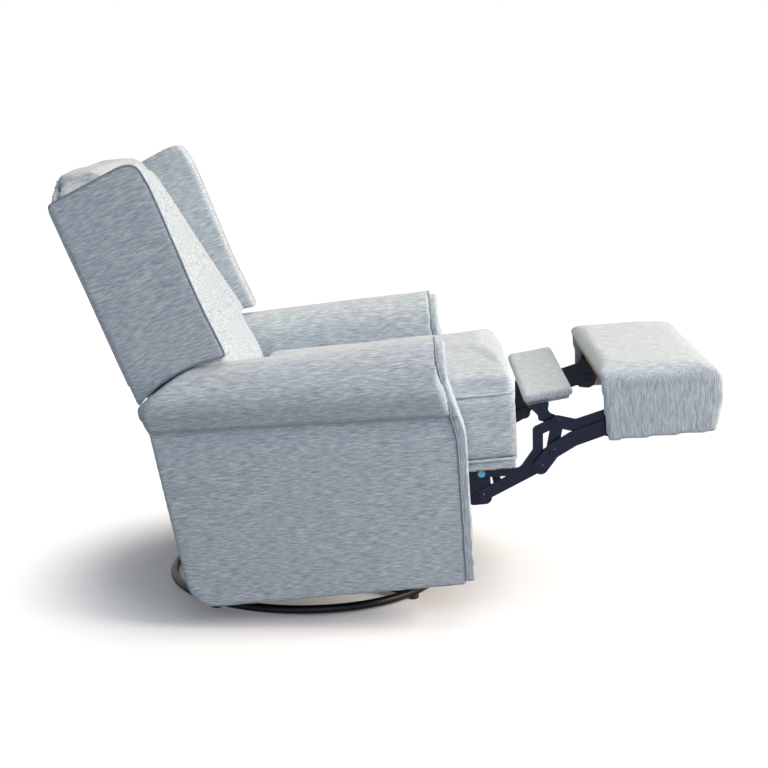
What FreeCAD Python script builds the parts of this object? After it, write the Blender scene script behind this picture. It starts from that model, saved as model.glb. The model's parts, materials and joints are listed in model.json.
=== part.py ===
# Swivel glider recliner with a wing back, rolled arms and a footrest on folding steel links.
# Units are millimetres. X runs across the chair, with the sitter's left at +X.
# The chair faces -Y and +Z is up. The origin is the centre of the round base on the floor.
# The chair is drawn level first. It is then tilted back about the tilt axle, as it stands
# with the footrest out, which is the rest pose of every moving piece.
import FreeCAD, Part
import math
import os

Vector = FreeCAD.Vector

# Running and seating clearances
HINGE_GAP = 0.05
PLATE_GAP = 0.5
SOFT_GAP = 0.6
SEATING_GAP = 0.3

# Round base
RING_DIAMETER = 600.0
RING_TUBE = 18.0
GLIDE_FOOT_HEIGHT = 5.0
GLIDE_FOOT_DIAMETER = 24.0
BASE_TURN = 8.0
SPOKE_WIDTH = 36.0
SPOKE_HEIGHT = 14.0
SPOKE_FLARE = 4.0
SHEET_STEEL = 3.0
HUB_DIAMETER = 190.0

# Swivel bearing
RACE_DIAMETER = 170.0
RACE_PLATE = 5.0
BALL_DIAMETER = 9.0
BALL_PITCH_DIAMETER = 130.0
BALL_COUNT = 10
KING_PIN_DIAMETER = 16.0
KING_PIN_HEAD = 5.0
KING_PIN_NUT_ACROSS = 27.0

# Glide frame, hanger links and carriage
GLIDE_HALF_WIDTH = 161.0
GLIDE_RAIL_HEIGHT = 24.0
GLIDE_RAIL_LENGTH = 322.0
GLIDE_FLANGE = 24.0
CROSS_BAR_WIDTH = 32.0
CROSS_BAR_HEIGHT = 12.0
CROSS_BAR_PITCH = 110.0
HANGER_PITCH = 280.0
HANGER_LENGTH = 130.0
HANGER_TOP_Z = 235.0
HANGER_WIDTH = 26.0
LINK_PLATE = 4.0
HANGER_PIN_DIAMETER = 10.0
HANGER_PIN_HEAD = 3.0
HANGER_HEAD_ROOM = 5.5
CARRIAGE_TUBE_DIAMETER = 20.0
CARRIAGE_TUBE_PITCH = 140.0

# Tilt axle: the whole chair leans on it when the footrest comes out
TILT_Y = -60.0
TILT_Z = 200.0
TILT_ANGLE = 5.5
TILT_AXLE_DIAMETER = 20.0

# Chair side mechanism plates and the folding links
PLATE_INSET = 26.0
LINK_STEEL = 3.0
LINK_HALF_WIDTH = 12.5
LONG_LINK_HALF_WIDTH = 15.5
UPPER_LINK_HALF_WIDTH = 13.0
FRONT_LINK_EYE = 8.3
RIVET_DIAMETER = 8.0
RIVET_HEAD_DIAMETER = 15.0
RIVET_INNER_HEAD_DIAMETER = 11.0
RIVET_HEAD_HEIGHT = 1.5
HEAD_ROOM = 2.0
BUSH_HEAD_DIAMETER = 17.0
BUSH_HEAD_HEIGHT = 3.5
PIVOT_FRONT = (-376.0, 259.1)
PIVOT_REAR = (-371.9, 210.5)
PIVOT_KNEE = (-496.4, 263.9)
PIVOT_CROSS = (-522.6, 294.1)
PIVOT_UPPER = (-538.0, 353.1)
PIVOT_FOOTREST = (-655.0, 324.0)
PIVOT_FOOTREST_TOP = (-679.5, 384.4)
TORQUE_TUBE_SIDE = 16.0
TORQUE_TUBE_FROM_PIVOT = 40.0

# Seat
SEAT_HALF_WIDTH = 262.0
SEAT_FRONT_Y = -452.0
SEAT_REAR_Y = 70.0
SEAT_FRAME_BOTTOM = 268.0
SEAT_FRAME_HEIGHT = 20.0
SEAT_RAIL_WIDTH = 50.0
SEAT_WELT_Z = 421.0
SEAT_CROWN_Z = 498.0
SEAT_SHOULDER_Z = 458.0
BORDER_THICKNESS = 3.0
SPRING_COUNT = 4
SPRING_WIRE = 4.0
SPRING_LOOPS = 11
SPRING_WIDTH = 46.0

# Arms
ARM_CLEARANCE = 13.0
ARM_WIDTH = 95.0
ROLL_OVERHANG = 24.0
ROLL_OVER_SEAT = 27.0
ARM_BOTTOM_Z = 67.0
ARM_FRONT_Y = -329.0
ARM_CREST_FRONT_Z = 561.0
ARM_CREST_REAR_Z = 541.5
ARM_SEAM_FRONT_Z = 406.0
ARM_SEAM_REAR_Z = 427.0
ARM_LOFT_FRONT_Y = -345.0
ARM_LOFT_REAR_Y = 275.0
ARM_REAR_BOTTOM_Y = 226.0
ARM_REAR_TOP_Y = 270.5
ARM_REAR_TOP_Z = 480.0
ARM_WALL = 8.0
ARM_BOARD = 20.0
ARM_REAR_POST = 62.0
ARM_CAVITY_TOP = 392.0
FRONT_PANEL_THICKNESS = 15.0
FRONT_PANEL_INSET = 5.0
ARM_SPACER_FRONT_Y = -305.0
ARM_SPACER_REAR_Y = 95.0
ARM_SPACER_BOTTOM = 210.0
ARM_SPACER_TOP = 262.0

# Back, hinged between the arms
HINGE_Y = 90.0
HINGE_Z = 300.0
BACK_ARC_RADIUS = 263.0
ARM_ARC_RADIUS = 258.0
BACK_FOOT_Y = 282.5
BACK_FOOT_Z = 482.0
BACK_LEAN = 17.3
BACK_TOP_Z = 887.0
BACK_ARCH = 41.0
WING_INSET = 25.0
WING_THICKNESS = 47.0
BACK_PANEL = 12.0
BACK_NECK_CLEARANCE = 3.0
CUSHION_NECK_CLEARANCE = 16.0
CUSHION_FOOT = (104.0, 500.0)
CUSHION_LEAN = 26.0
CUSHION_BELLY_Z = 440.0
BACK_MIDDLE_RAIL_Z = 610.0
POST_WIDTH = 35.0
POST_DEPTH = 40.0
POST_BOTTOM_Z = 332.0
RAIL_HEIGHT = 45.0
BACK_FRAME_DROP = 30.0
WEB_WIDTH = 50.0
WEB_THICKNESS = 2.5
WEB_COUNT = 4
REAR_PANEL_TOP = 262.0
REAR_PANEL_BOTTOM = 100.0
REAR_PANEL_THICKNESS = 12.0
HORN_RADIUS = 18.0
BACK_PIN_DIAMETER = 12.0

# Footrest and the small pad ahead of the seat
FOOTREST_FLAP = 8.0
FOOTREST_SIDE_ROOM = 4.5
FOOTREST_REAR_Y = -624.0
FOOTREST_FRONT_Y = -871.0
FOOTREST_TOP_REAR_Z = 458.5
FOOTREST_TOP_SLOPE = 3.0
FOOTREST_PAD = 24.0
FOOTREST_BOARD = 12.0
FOOTREST_FLAP_BOTTOM = 306.0
FOOTREST_TOP_LENGTH = 250.0
FOOTREST_INNER_LENGTH = 220.0
FOOTREST_SHOULDER = 32.0
FOOTREST_BRACKET_REAR = 26.0
FOOTREST_BRACKET_FRONT = 162.0
FOOTREST_FLANGE = 24.0
FLIPPER_SIDE_ROOM = 4.0
FLIPPER_REAR_Y = -476.0
FLIPPER_FRONT_Y = -573.0
FLIPPER_TOP_Z = 407.0
FLIPPER_RISE = 10.0
FLIPPER_PAD = 14.0
FLIPPER_BOARD = 8.0
FLIPPER_BRACKET_REAR_Y = -484.0
FLIPPER_BRACKET_FRONT_Y = -524.0

# Planes across the chair, counted outwards from the half width of the seat
PLATE_INNER_X = SEAT_HALF_WIDTH - PLATE_INSET
ARM_INNER_X = SEAT_HALF_WIDTH + ARM_CLEARANCE
ARM_OUTER_X = ARM_INNER_X + ARM_WIDTH
ROLL_OUTER_X = ARM_OUTER_X + ROLL_OVERHANG
ROLL_INNER_X = ARM_INNER_X - ROLL_OVER_SEAT
WING_OUTER_X = ARM_OUTER_X - WING_INSET
BACK_NECK_HALF_WIDTH = ROLL_INNER_X - BACK_NECK_CLEARANCE
CUSHION_NECK_HALF_WIDTH = ROLL_INNER_X - CUSHION_NECK_CLEARANCE
FLIPPER_HALF_WIDTH = PLATE_INNER_X - FLIPPER_SIDE_ROOM

# Planes of the stacked links, counted outwards from the mechanism plate
PITCH_X = LINK_STEEL + PLATE_GAP
REAR_LINK_X = PLATE_INNER_X + PITCH_X
FRONT_LINK_X = REAR_LINK_X + LINK_STEEL + HEAD_ROOM
UPPER_LINK_X = FRONT_LINK_X + PITCH_X
LONG_LINK_X = UPPER_LINK_X + LINK_STEEL + HEAD_ROOM
BRACKET_X = LONG_LINK_X + PITCH_X
FOOTREST_HALF_WIDTH = BRACKET_X + LINK_STEEL + FOOTREST_SIDE_ROOM + FOOTREST_FLAP

# Cutting tools reach past every piece by this much
PAST = 60.0

SIDES = (("right", -1), ("left", 1))


def curved_wire(corners, place):
    """Closed wire through (a, b, radius) corners. Each corner is rounded by a tangent arc."""
    count = len(corners)
    starts = []
    ends = []
    middles = []
    for index in range(count):
        here = place(corners[index][0], corners[index][1])
        before = place(corners[index - 1][0], corners[index - 1][1])
        after = place(corners[(index + 1) % count][0], corners[(index + 1) % count][1])
        to_before = (before - here).normalize()
        to_after = (after - here).normalize()
        radius = corners[index][2]
        half = to_before.getAngle(to_after) / 2
        if radius == 0:
            starts.append(here)
            ends.append(here)
            middles.append(None)
            continue
        room = min((before - here).Length, (after - here).Length) * 0.4995
        cut = min(radius / math.tan(half), room)
        radius = cut * math.tan(half)
        bisector = (to_before + to_after).normalize()
        centre = here + bisector * (radius / math.sin(half))
        starts.append(here + to_before * cut)
        ends.append(here + to_after * cut)
        middles.append(centre - bisector * radius)
    edges = []
    for index in range(count):
        if middles[index] is not None:
            edges.append(Part.Arc(starts[index], middles[index], ends[index]).toShape())
        following = (index + 1) % count
        if (ends[index] - starts[following]).Length > 1e-6:
            edges.append(Part.makeLine(ends[index], starts[following]))
    return Part.Wire(edges)


def side_prism(corners, x_low, x_high):
    """Solid with an outline of (y, z, radius) corners, running across the chair."""
    wire = curved_wire(corners, lambda y, z: Vector(x_low, y, z))
    return Part.Face(wire).extrude(Vector(x_high - x_low, 0, 0))


def front_prism(corners, y_low, y_high):
    """Solid with an outline of (x, z, radius) corners, running front to back."""
    wire = curved_wire(corners, lambda x, z: Vector(x, y_low, z))
    return Part.Face(wire).extrude(Vector(0, y_high - y_low, 0))


def block(low, high):
    size = [high[axis] - low[axis] for axis in range(3)]
    return Part.makeBox(size[0], size[1], size[2], Vector(low[0], low[1], low[2]))


def rod(x_low, x_high, y, z, radius):
    """Round bar along X."""
    return Part.makeCylinder(radius, x_high - x_low, Vector(x_low, y, z), Vector(1, 0, 0))


def joined(solids):
    first = solids[0]
    if len(solids) > 1:
        first = first.fuse(solids[1:])
    return first.removeSplitter()


def on_side(shape, sign):
    """The sitter's left is drawn. The right is its mirror image."""
    if sign > 0:
        return shape
    return shape.mirror(Vector(0, 0, 0), Vector(1, 0, 0))


def both_sides(solids):
    mirrored = [on_side(solid, -1) for solid in solids]
    return Part.makeCompound(list(solids) + mirrored)


def leaned(shape):
    """Move a piece of the level chair to where it is with the footrest out."""
    moved = shape.copy()
    moved.rotate(Vector(0, TILT_Y, TILT_Z), Vector(-1, 0, 0), TILT_ANGLE)
    return moved


def save(name, shape):
    assert shape.isValid(), name
    shape.exportStep("parts/" + name + ".step")


def save_leaned(name, shape):
    save(name, leaned(shape))


def back_line(z, forward=0.0):
    """Y of the plane of the outside back, or of a plane so far ahead of it."""
    return BACK_FOOT_Y + (z - BACK_FOOT_Z) * math.tan(math.radians(BACK_LEAN)) - forward


# Round base and swivel

RING_Z = GLIDE_FOOT_HEIGHT + RING_TUBE / 2
RING_MEAN_RADIUS = (RING_DIAMETER - RING_TUBE) / 2
SPOKE_TOP = RING_Z + RING_TUBE / 2 + 2.0
HUB_TOP = SPOKE_TOP + SHEET_STEEL
LOWER_RACE_TOP = HUB_TOP + RACE_PLATE
RACE_SPACE = BALL_DIAMETER / 2
UPPER_RACE_BOTTOM = LOWER_RACE_TOP + RACE_SPACE
UPPER_RACE_TOP = UPPER_RACE_BOTTOM + RACE_PLATE
KING_PIN_BOTTOM = SPOKE_TOP - SHEET_STEEL - KING_PIN_HEAD


def make_ring():
    return Part.makeTorus(RING_MEAN_RADIUS, RING_TUBE / 2, Vector(0, 0, RING_Z))


def spoke_angles():
    return [BASE_TURN + 45 + 90 * index for index in range(4)]


def make_spokes(ring):
    """Two crossed inverted channels, notched over the ring, with a round hub plate."""
    reach = RING_MEAN_RADIUS + RING_TUBE / 4
    low = SPOKE_TOP - SPOKE_HEIGHT
    half = SPOKE_WIDTH / 2
    outer = [(-half - SPOKE_FLARE, low, 0), (-half, SPOKE_TOP, 5)]
    outer += [(half, SPOKE_TOP, 5), (half + SPOKE_FLARE, low, 0)]
    inner_half = half - SHEET_STEEL
    inner_top = SPOKE_TOP - SHEET_STEEL
    inner = [(-inner_half - SPOKE_FLARE, low - 1, 0), (-inner_half, inner_top, 2)]
    inner += [(inner_half, inner_top, 2), (inner_half + SPOKE_FLARE, low - 1, 0)]
    channel = front_prism(outer, -reach, reach).cut(front_prism(inner, -reach - 1, reach + 1))
    crossing = channel.copy()
    crossing.rotate(Vector(0, 0, 0), Vector(0, 0, 1), 90)
    hub = Part.makeCylinder(HUB_DIAMETER / 2, SHEET_STEEL, Vector(0, 0, SPOKE_TOP))
    cross = joined([channel, crossing, hub])
    cross.rotate(Vector(0, 0, 0), Vector(0, 0, 1), BASE_TURN + 45)
    cross = cross.cut(ring)
    bore = Part.makeCylinder(KING_PIN_DIAMETER / 2, HUB_TOP, Vector(0, 0, 0))
    return cross.cut(bore)


def glide_foot(height):
    """Round plastic foot with a bevelled lower edge."""
    radius = GLIDE_FOOT_DIAMETER / 2
    bevel = 1.5
    edge = Part.makeCone(radius - bevel, radius, bevel)
    upper = Part.makeCylinder(radius, height - bevel, Vector(0, 0, bevel))
    return joined([edge, upper])


def make_glide_feet(ring):
    """Four feet under the ring, and one under the king pin that keeps the spokes from bending."""
    feet = [glide_foot(KING_PIN_BOTTOM)]
    for angle in spoke_angles():
        foot = glide_foot(RING_Z - 2.0)
        foot.translate(Vector(RING_MEAN_RADIUS, 0, 0))
        foot.rotate(Vector(0, 0, 0), Vector(0, 0, 1), angle)
        feet.append(foot.cut(ring))
    return Part.makeCompound(feet)


def race_groove():
    """Channel that the balls run in, cut into both plates."""
    depth = (BALL_DIAMETER - RACE_SPACE) / 2
    low = LOWER_RACE_TOP - depth
    height = BALL_DIAMETER + 2 * HINGE_GAP
    outer = (BALL_PITCH_DIAMETER + BALL_DIAMETER) / 2 + HINGE_GAP
    inner = (BALL_PITCH_DIAMETER - BALL_DIAMETER) / 2 - HINGE_GAP
    start = Vector(0, 0, low - HINGE_GAP)
    return Part.makeCylinder(outer, height, start).cut(Part.makeCylinder(inner, height, start))


def make_lower_race():
    plate = Part.makeCylinder(RACE_DIAMETER / 2, RACE_PLATE, Vector(0, 0, HUB_TOP))
    bore = Part.makeCylinder(KING_PIN_DIAMETER / 2, RACE_PLATE, Vector(0, 0, HUB_TOP))
    return plate.cut(bore).cut(race_groove())


def make_upper_race():
    plate = Part.makeCylinder(RACE_DIAMETER / 2, RACE_PLATE, Vector(0, 0, UPPER_RACE_BOTTOM))
    radius = KING_PIN_DIAMETER / 2 + HINGE_GAP
    bore = Part.makeCylinder(radius, RACE_PLATE, Vector(0, 0, UPPER_RACE_BOTTOM))
    return plate.cut(bore).cut(race_groove())


def make_balls():
    ball_z = LOWER_RACE_TOP + RACE_SPACE / 2
    balls = []
    for index in range(BALL_COUNT):
        angle = 2 * math.pi * index / BALL_COUNT
        x = BALL_PITCH_DIAMETER / 2 * math.cos(angle)
        y = BALL_PITCH_DIAMETER / 2 * math.sin(angle)
        balls.append(Part.makeSphere(BALL_DIAMETER / 2, Vector(x, y, ball_z)))
    return Part.makeCompound(balls)


def make_king_pin():
    """Bolt up through the hub, with its head below and a locked nut above the upper race."""
    radius = KING_PIN_DIAMETER / 2
    top = UPPER_RACE_TOP + 12
    head = Part.makeCylinder(radius * 1.7, KING_PIN_HEAD, Vector(0, 0, KING_PIN_BOTTOM))
    shank_low = KING_PIN_BOTTOM + KING_PIN_HEAD
    shank = Part.makeCylinder(radius, top - shank_low, Vector(0, 0, shank_low))
    washer_z = UPPER_RACE_TOP + 2 * HINGE_GAP
    washer = Part.makeCylinder(radius * 1.9, 2, Vector(0, 0, washer_z))
    nut_points = []
    for index in range(7):
        angle = math.radians(60 * index)
        corner = KING_PIN_NUT_ACROSS / 2
        nut_points.append(Vector(corner * math.cos(angle), corner * math.sin(angle), washer_z + 2))
    nut = Part.Face(Part.makePolygon(nut_points)).extrude(Vector(0, 0, 7))
    return joined([head, shank, washer, nut])


# Glide frame, hangers and carriage

CROSS_BAR_TOP = UPPER_RACE_TOP + CROSS_BAR_HEIGHT
GLIDE_RAIL_TOP = CROSS_BAR_TOP + GLIDE_RAIL_HEIGHT
HANGER_BOTTOM_Z = HANGER_TOP_Z - HANGER_LENGTH
HANGER_X = GLIDE_HALF_WIDTH + LINK_PLATE + HANGER_HEAD_ROOM
CARRIAGE_X = HANGER_X + LINK_PLATE + 1.0


def make_cross_bars():
    """Two flat channels on the swivel plate that carry the glide rails."""
    bars = []
    for sign in (-1, 1):
        middle = sign * CROSS_BAR_PITCH / 2
        low = middle - CROSS_BAR_WIDTH / 2
        high = middle + CROSS_BAR_WIDTH / 2
        bar = block((-GLIDE_HALF_WIDTH, low, UPPER_RACE_TOP), (GLIDE_HALF_WIDTH, high, CROSS_BAR_TOP))
        hollow = block(
            (-GLIDE_HALF_WIDTH, low + SHEET_STEEL, UPPER_RACE_TOP),
            (GLIDE_HALF_WIDTH, high - SHEET_STEEL, CROSS_BAR_TOP - SHEET_STEEL),
        )
        bars.append(bar.cut(hollow))
    return Part.makeCompound(bars)


def make_glide_side():
    """Stamped side plate with a post at each end and a foot flange on the cross bars."""
    half = GLIDE_RAIL_LENGTH / 2
    post = HANGER_PITCH / 2
    top = HANGER_TOP_Z + HANGER_WIDTH / 2
    corners = [(-half, CROSS_BAR_TOP, 0), (-half, CROSS_BAR_TOP + 60, 30)]
    corners += [(-post - 13, top, 12.9), (-post + 13, top, 12.9)]
    corners += [(-post + 24, GLIDE_RAIL_TOP, 22), (post - 24, GLIDE_RAIL_TOP, 22)]
    corners += [(post - 13, top, 12.9), (post + 13, top, 12.9)]
    corners += [(half, CROSS_BAR_TOP + 60, 30), (half, CROSS_BAR_TOP, 0)]
    web = side_prism(corners, GLIDE_HALF_WIDTH, GLIDE_HALF_WIDTH + LINK_PLATE)
    flange = block(
        (GLIDE_HALF_WIDTH - GLIDE_FLANGE, -half, CROSS_BAR_TOP),
        (GLIDE_HALF_WIDTH, half, CROSS_BAR_TOP + LINK_PLATE),
    )
    side = web.fuse(flange).removeSplitter()
    for sign in (-1, 1):
        hole = rod(GLIDE_HALF_WIDTH, GLIDE_HALF_WIDTH + LINK_PLATE, sign * post, HANGER_TOP_Z,
                   HANGER_PIN_DIAMETER / 2)
        side = side.cut(hole)
    return side


def make_hanger(y):
    """Flat link with a waist and an eye at each end."""
    half = HANGER_WIDTH / 2
    top = HANGER_TOP_Z + half
    bottom = HANGER_BOTTOM_Z - half
    corners = [(y - half, bottom, half - 0.5), (y - half + 1, HANGER_TOP_Z - HANGER_LENGTH / 2, 300)]
    corners += [(y - half, top, half - 0.5), (y + half, top, half - 0.5)]
    corners += [(y + half - 1, HANGER_TOP_Z - HANGER_LENGTH / 2, 300), (y + half, bottom, half - 0.5)]
    link = side_prism(corners, HANGER_X, HANGER_X + LINK_PLATE)
    eye = HANGER_PIN_DIAMETER / 2 + HINGE_GAP
    for z in (HANGER_TOP_Z, HANGER_BOTTOM_Z):
        link = link.cut(rod(HANGER_X, HANGER_X + LINK_PLATE, y, z, eye))
    return link


def hanger_pin(y, z, low, high):
    """Pin through a plate and the link beside it, with a round head past each of them."""
    radius = HANGER_PIN_DIAMETER / 2
    gap = 2 * HINGE_GAP
    pin = rod(low - gap, high + gap, y, z, radius)
    outer_head = rod(high + gap, high + gap + HANGER_PIN_HEAD, y, z, radius * 1.6)
    inner_head = rod(low - gap - HANGER_PIN_HEAD, low - gap, y, z, radius * 1.6)
    return joined([pin, outer_head, inner_head])


def make_hanger_pins(z, plate_x):
    low = min(plate_x, HANGER_X)
    high = max(plate_x, HANGER_X) + LINK_PLATE
    return both_sides([hanger_pin(sign * HANGER_PITCH / 2, z, low, high) for sign in (-1, 1)])


def make_carriage_side():
    """Moving rail, with an upright that carries the tilt axle."""
    half = HANGER_PITCH / 2 + 14
    low = HANGER_BOTTOM_Z - 13
    high = HANGER_BOTTOM_Z + 13
    top = TILT_Z + 20
    corners = [(-half, low, 12.9), (-half, high, 12.9), (TILT_Y - 46, high, 24)]
    corners += [(TILT_Y - 20, top, 19), (TILT_Y + 20, top, 19), (TILT_Y + 58, high, 24)]
    corners += [(half, high, 12.9), (half, low, 12.9)]
    side = side_prism(corners, CARRIAGE_X, CARRIAGE_X + LINK_PLATE)
    for sign in (-1, 1):
        y = sign * HANGER_PITCH / 2
        side = side.cut(rod(CARRIAGE_X, CARRIAGE_X + LINK_PLATE, y, HANGER_BOTTOM_Z,
                            HANGER_PIN_DIAMETER / 2))
    return side.cut(rod(CARRIAGE_X, CARRIAGE_X + LINK_PLATE, TILT_Y, TILT_Z, TILT_AXLE_DIAMETER / 2))


def make_carriage_tubes():
    tubes = []
    for sign in (-1, 1):
        y = sign * CARRIAGE_TUBE_PITCH / 2
        outer = rod(-CARRIAGE_X, CARRIAGE_X, y, HANGER_BOTTOM_Z, CARRIAGE_TUBE_DIAMETER / 2)
        bore = rod(-CARRIAGE_X, CARRIAGE_X, y, HANGER_BOTTOM_Z, CARRIAGE_TUBE_DIAMETER / 2 - 2)
        tubes.append(outer.cut(bore))
    return Part.makeCompound(tubes)


def make_tilt_axle():
    """Bar across the carriage. The mechanism plates of the chair turn on its ends."""
    radius = TILT_AXLE_DIAMETER / 2
    end = PLATE_INNER_X + LINK_STEEL + 3
    axle = rod(-end, end, TILT_Y, TILT_Z, radius)
    collars = []
    for sign in (-1, 1):
        near = sorted((sign * (PLATE_INNER_X - 6), sign * (PLATE_INNER_X - 2 * HINGE_GAP)))
        collars.append(rod(near[0], near[1], TILT_Y, TILT_Z, radius + 6))
        cap = sorted((sign * (PLATE_INNER_X + LINK_STEEL + 2 * HINGE_GAP), sign * (end + 1.5)))
        collars.append(rod(cap[0], cap[1], TILT_Y, TILT_Z, radius + 3))
    return joined([axle] + collars)


# Mechanism plates and folding links

def rivet(pivot, low, high, inner_head=RIVET_HEAD_DIAMETER / 2):
    """Rivet along X between two faces, with a low tapered head just past each of them."""
    outer_head = RIVET_HEAD_DIAMETER / 2
    gap = 2 * HINGE_GAP
    shank = rod(low - gap, high + gap, pivot[0], pivot[1], RIVET_DIAMETER / 2)
    outer = Part.makeCone(outer_head, outer_head - RIVET_HEAD_HEIGHT, RIVET_HEAD_HEIGHT,
                          Vector(high + gap, pivot[0], pivot[1]), Vector(1, 0, 0))
    inner = Part.makeCone(inner_head, inner_head - RIVET_HEAD_HEIGHT, RIVET_HEAD_HEIGHT,
                          Vector(low - gap, pivot[0], pivot[1]), Vector(-1, 0, 0))
    return joined([shank, outer, inner])


def pivot_hole(shape, pivot, x, fixed):
    radius = RIVET_DIAMETER / 2 + (0 if fixed else HINGE_GAP)
    return shape.cut(rod(x, x + LINK_STEEL, pivot[0], pivot[1], radius))


def link_plate(path, x, half_width):
    """Flat stamped link: a band of even width along a bent path, with round ends."""
    pieces = []
    for index in range(len(path)):
        pieces.append(rod(x, x + LINK_STEEL, path[index][0], path[index][1], half_width))
        if index == 0:
            continue
        start = Vector(x, path[index - 1][0], path[index - 1][1])
        end = Vector(x, path[index][0], path[index][1])
        along = (end - start).normalize()
        across = Vector(0, -along.z, along.y) * half_width
        corners = [start + across, end + across, end - across, start - across, start + across]
        wire = Part.makePolygon(corners)
        pieces.append(Part.Face(wire).extrude(Vector(LINK_STEEL, 0, 0)))
    return joined(pieces)


def make_seat_plate():
    """Mechanism plate with the link pivots in front, the tilt bore and the horn of the back hinge."""
    top = SEAT_FRAME_BOTTOM
    corners = [(-394, top, 4), (SEAT_REAR_Y + 1, top, 1)]
    corners += [(HINGE_Y - HORN_RADIUS, HINGE_Z + HORN_RADIUS, HORN_RADIUS - 0.1)]
    corners += [(HINGE_Y + HORN_RADIUS, HINGE_Z + HORN_RADIUS, HORN_RADIUS - 0.1)]
    corners += [(HINGE_Y + HORN_RADIUS + 2, 250, 40), (HINGE_Y - 4, 208, 30)]
    corners += [(TILT_Y + 50, 176, 30), (TILT_Y - 50, 176, 30), (-170, 214, 40)]
    corners += [(-330, 214, 30), (-352, 192, 12), (-394, 192, 14)]
    plate = side_prism(corners, PLATE_INNER_X, PLATE_INNER_X + LINK_STEEL)
    flange = block((PLATE_INNER_X - 22, -394, top - LINK_STEEL), (PLATE_INNER_X, SEAT_REAR_Y - 10, top))
    plate = plate.fuse(flange).removeSplitter()
    plate = plate.cut(rod(PLATE_INNER_X, PLATE_INNER_X + LINK_STEEL, TILT_Y, TILT_Z,
                          TILT_AXLE_DIAMETER / 2 + HINGE_GAP))
    plate = plate.cut(rod(PLATE_INNER_X, PLATE_INNER_X + LINK_STEEL, HINGE_Y, HINGE_Z,
                          BACK_PIN_DIAMETER / 2))
    for pivot in (PIVOT_FRONT, PIVOT_REAR):
        plate = pivot_hole(plate, pivot, PLATE_INNER_X, True)
    return plate


def make_rear_link_rivet():
    high = REAR_LINK_X + LINK_STEEL
    return rivet(PIVOT_REAR, PLATE_INNER_X, high)


def make_pivot_bushes():
    """Pale blue nylon bush of each front link: pin, spacer off the mechanism plate and wide head."""
    gap = 2 * HINGE_GAP
    y, z = PIVOT_FRONT
    low = PLATE_INNER_X
    high = FRONT_LINK_X + LINK_STEEL
    inner_head = RIVET_INNER_HEAD_DIAMETER / 2
    outer_head = BUSH_HEAD_DIAMETER / 2
    pin = rod(low - gap, high + gap, y, z, RIVET_DIAMETER / 2)
    back = rod(low - gap - RIVET_HEAD_HEIGHT, low - gap, y, z, inner_head)
    spacer = rod(low + LINK_STEEL + gap, FRONT_LINK_X - gap, y, z, FRONT_LINK_EYE)
    face = Part.makeCone(outer_head, outer_head - 2, BUSH_HEAD_HEIGHT,
                         Vector(high + gap, y, z), Vector(1, 0, 0))
    return both_sides([joined([pin, back, spacer, face])])


FRONT_LINK_BEND = (-462.0, 256.5)
FRONT_LINK_HORN = (-497.0, 338.0)
FRONT_LINK_WAIST = (-494.0, 296.0)


def make_front_link():
    path = [PIVOT_FRONT, FRONT_LINK_BEND, PIVOT_CROSS, PIVOT_UPPER]
    plate = link_plate([PIVOT_FRONT, FRONT_LINK_BEND], FRONT_LINK_X, FRONT_LINK_EYE)
    horn = [FRONT_LINK_BEND, FRONT_LINK_WAIST, FRONT_LINK_HORN, PIVOT_UPPER]
    plate = plate.fuse(link_plate(path[1:], FRONT_LINK_X, LINK_HALF_WIDTH))
    plate = plate.fuse(link_plate(horn, FRONT_LINK_X, LINK_HALF_WIDTH - 2)).removeSplitter()
    plate = pivot_hole(plate, PIVOT_FRONT, FRONT_LINK_X, False)
    for pivot in (PIVOT_CROSS, PIVOT_UPPER):
        plate = pivot_hole(plate, pivot, FRONT_LINK_X, True)
    return plate


def make_rear_link():
    """Lower strut, with a stamped nose at the knee."""
    nose = (PIVOT_KNEE[0] - 7, PIVOT_KNEE[1] + 1)
    plate = link_plate([PIVOT_REAR, PIVOT_KNEE, nose], REAR_LINK_X, LINK_HALF_WIDTH)
    return pivot_hole(plate, PIVOT_REAR, REAR_LINK_X, False)


def make_long_link():
    """Long strut that carries the footrest, bent at the crossing."""
    path = [PIVOT_KNEE, PIVOT_CROSS, (-566.0, 316.0), (-630.0, 333.0), PIVOT_FOOTREST]
    plate = link_plate(path, LONG_LINK_X, LONG_LINK_HALF_WIDTH)
    plate = pivot_hole(plate, PIVOT_CROSS, LONG_LINK_X, False)
    return pivot_hole(plate, PIVOT_FOOTREST, LONG_LINK_X, True)


def make_upper_link():
    path = [PIVOT_UPPER, (-574.0, 342.0), (-640.0, 358.0), PIVOT_FOOTREST_TOP]
    plate = link_plate(path, UPPER_LINK_X, UPPER_LINK_HALF_WIDTH)
    return pivot_hole(plate, PIVOT_UPPER, UPPER_LINK_X, False)


def make_front_link_rivets():
    """Rivets at the crossing, with a spacer across the upper link's plane, and at the top pivot."""
    cross = rivet(PIVOT_CROSS, FRONT_LINK_X, LONG_LINK_X + LINK_STEEL)
    spacer = rod(FRONT_LINK_X + LINK_STEEL, LONG_LINK_X - 2 * HINGE_GAP, PIVOT_CROSS[0], PIVOT_CROSS[1],
                 RIVET_HEAD_DIAMETER / 2 - 1)
    upper = rivet(PIVOT_UPPER, PLATE_INNER_X, UPPER_LINK_X + LINK_STEEL)
    collar = rod(PLATE_INNER_X + LINK_STEEL + 2 * HINGE_GAP, FRONT_LINK_X, PIVOT_UPPER[0], PIVOT_UPPER[1],
                 RIVET_HEAD_DIAMETER / 2 - 1)
    return both_sides([joined([cross, spacer]), joined([upper, collar])])


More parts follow.
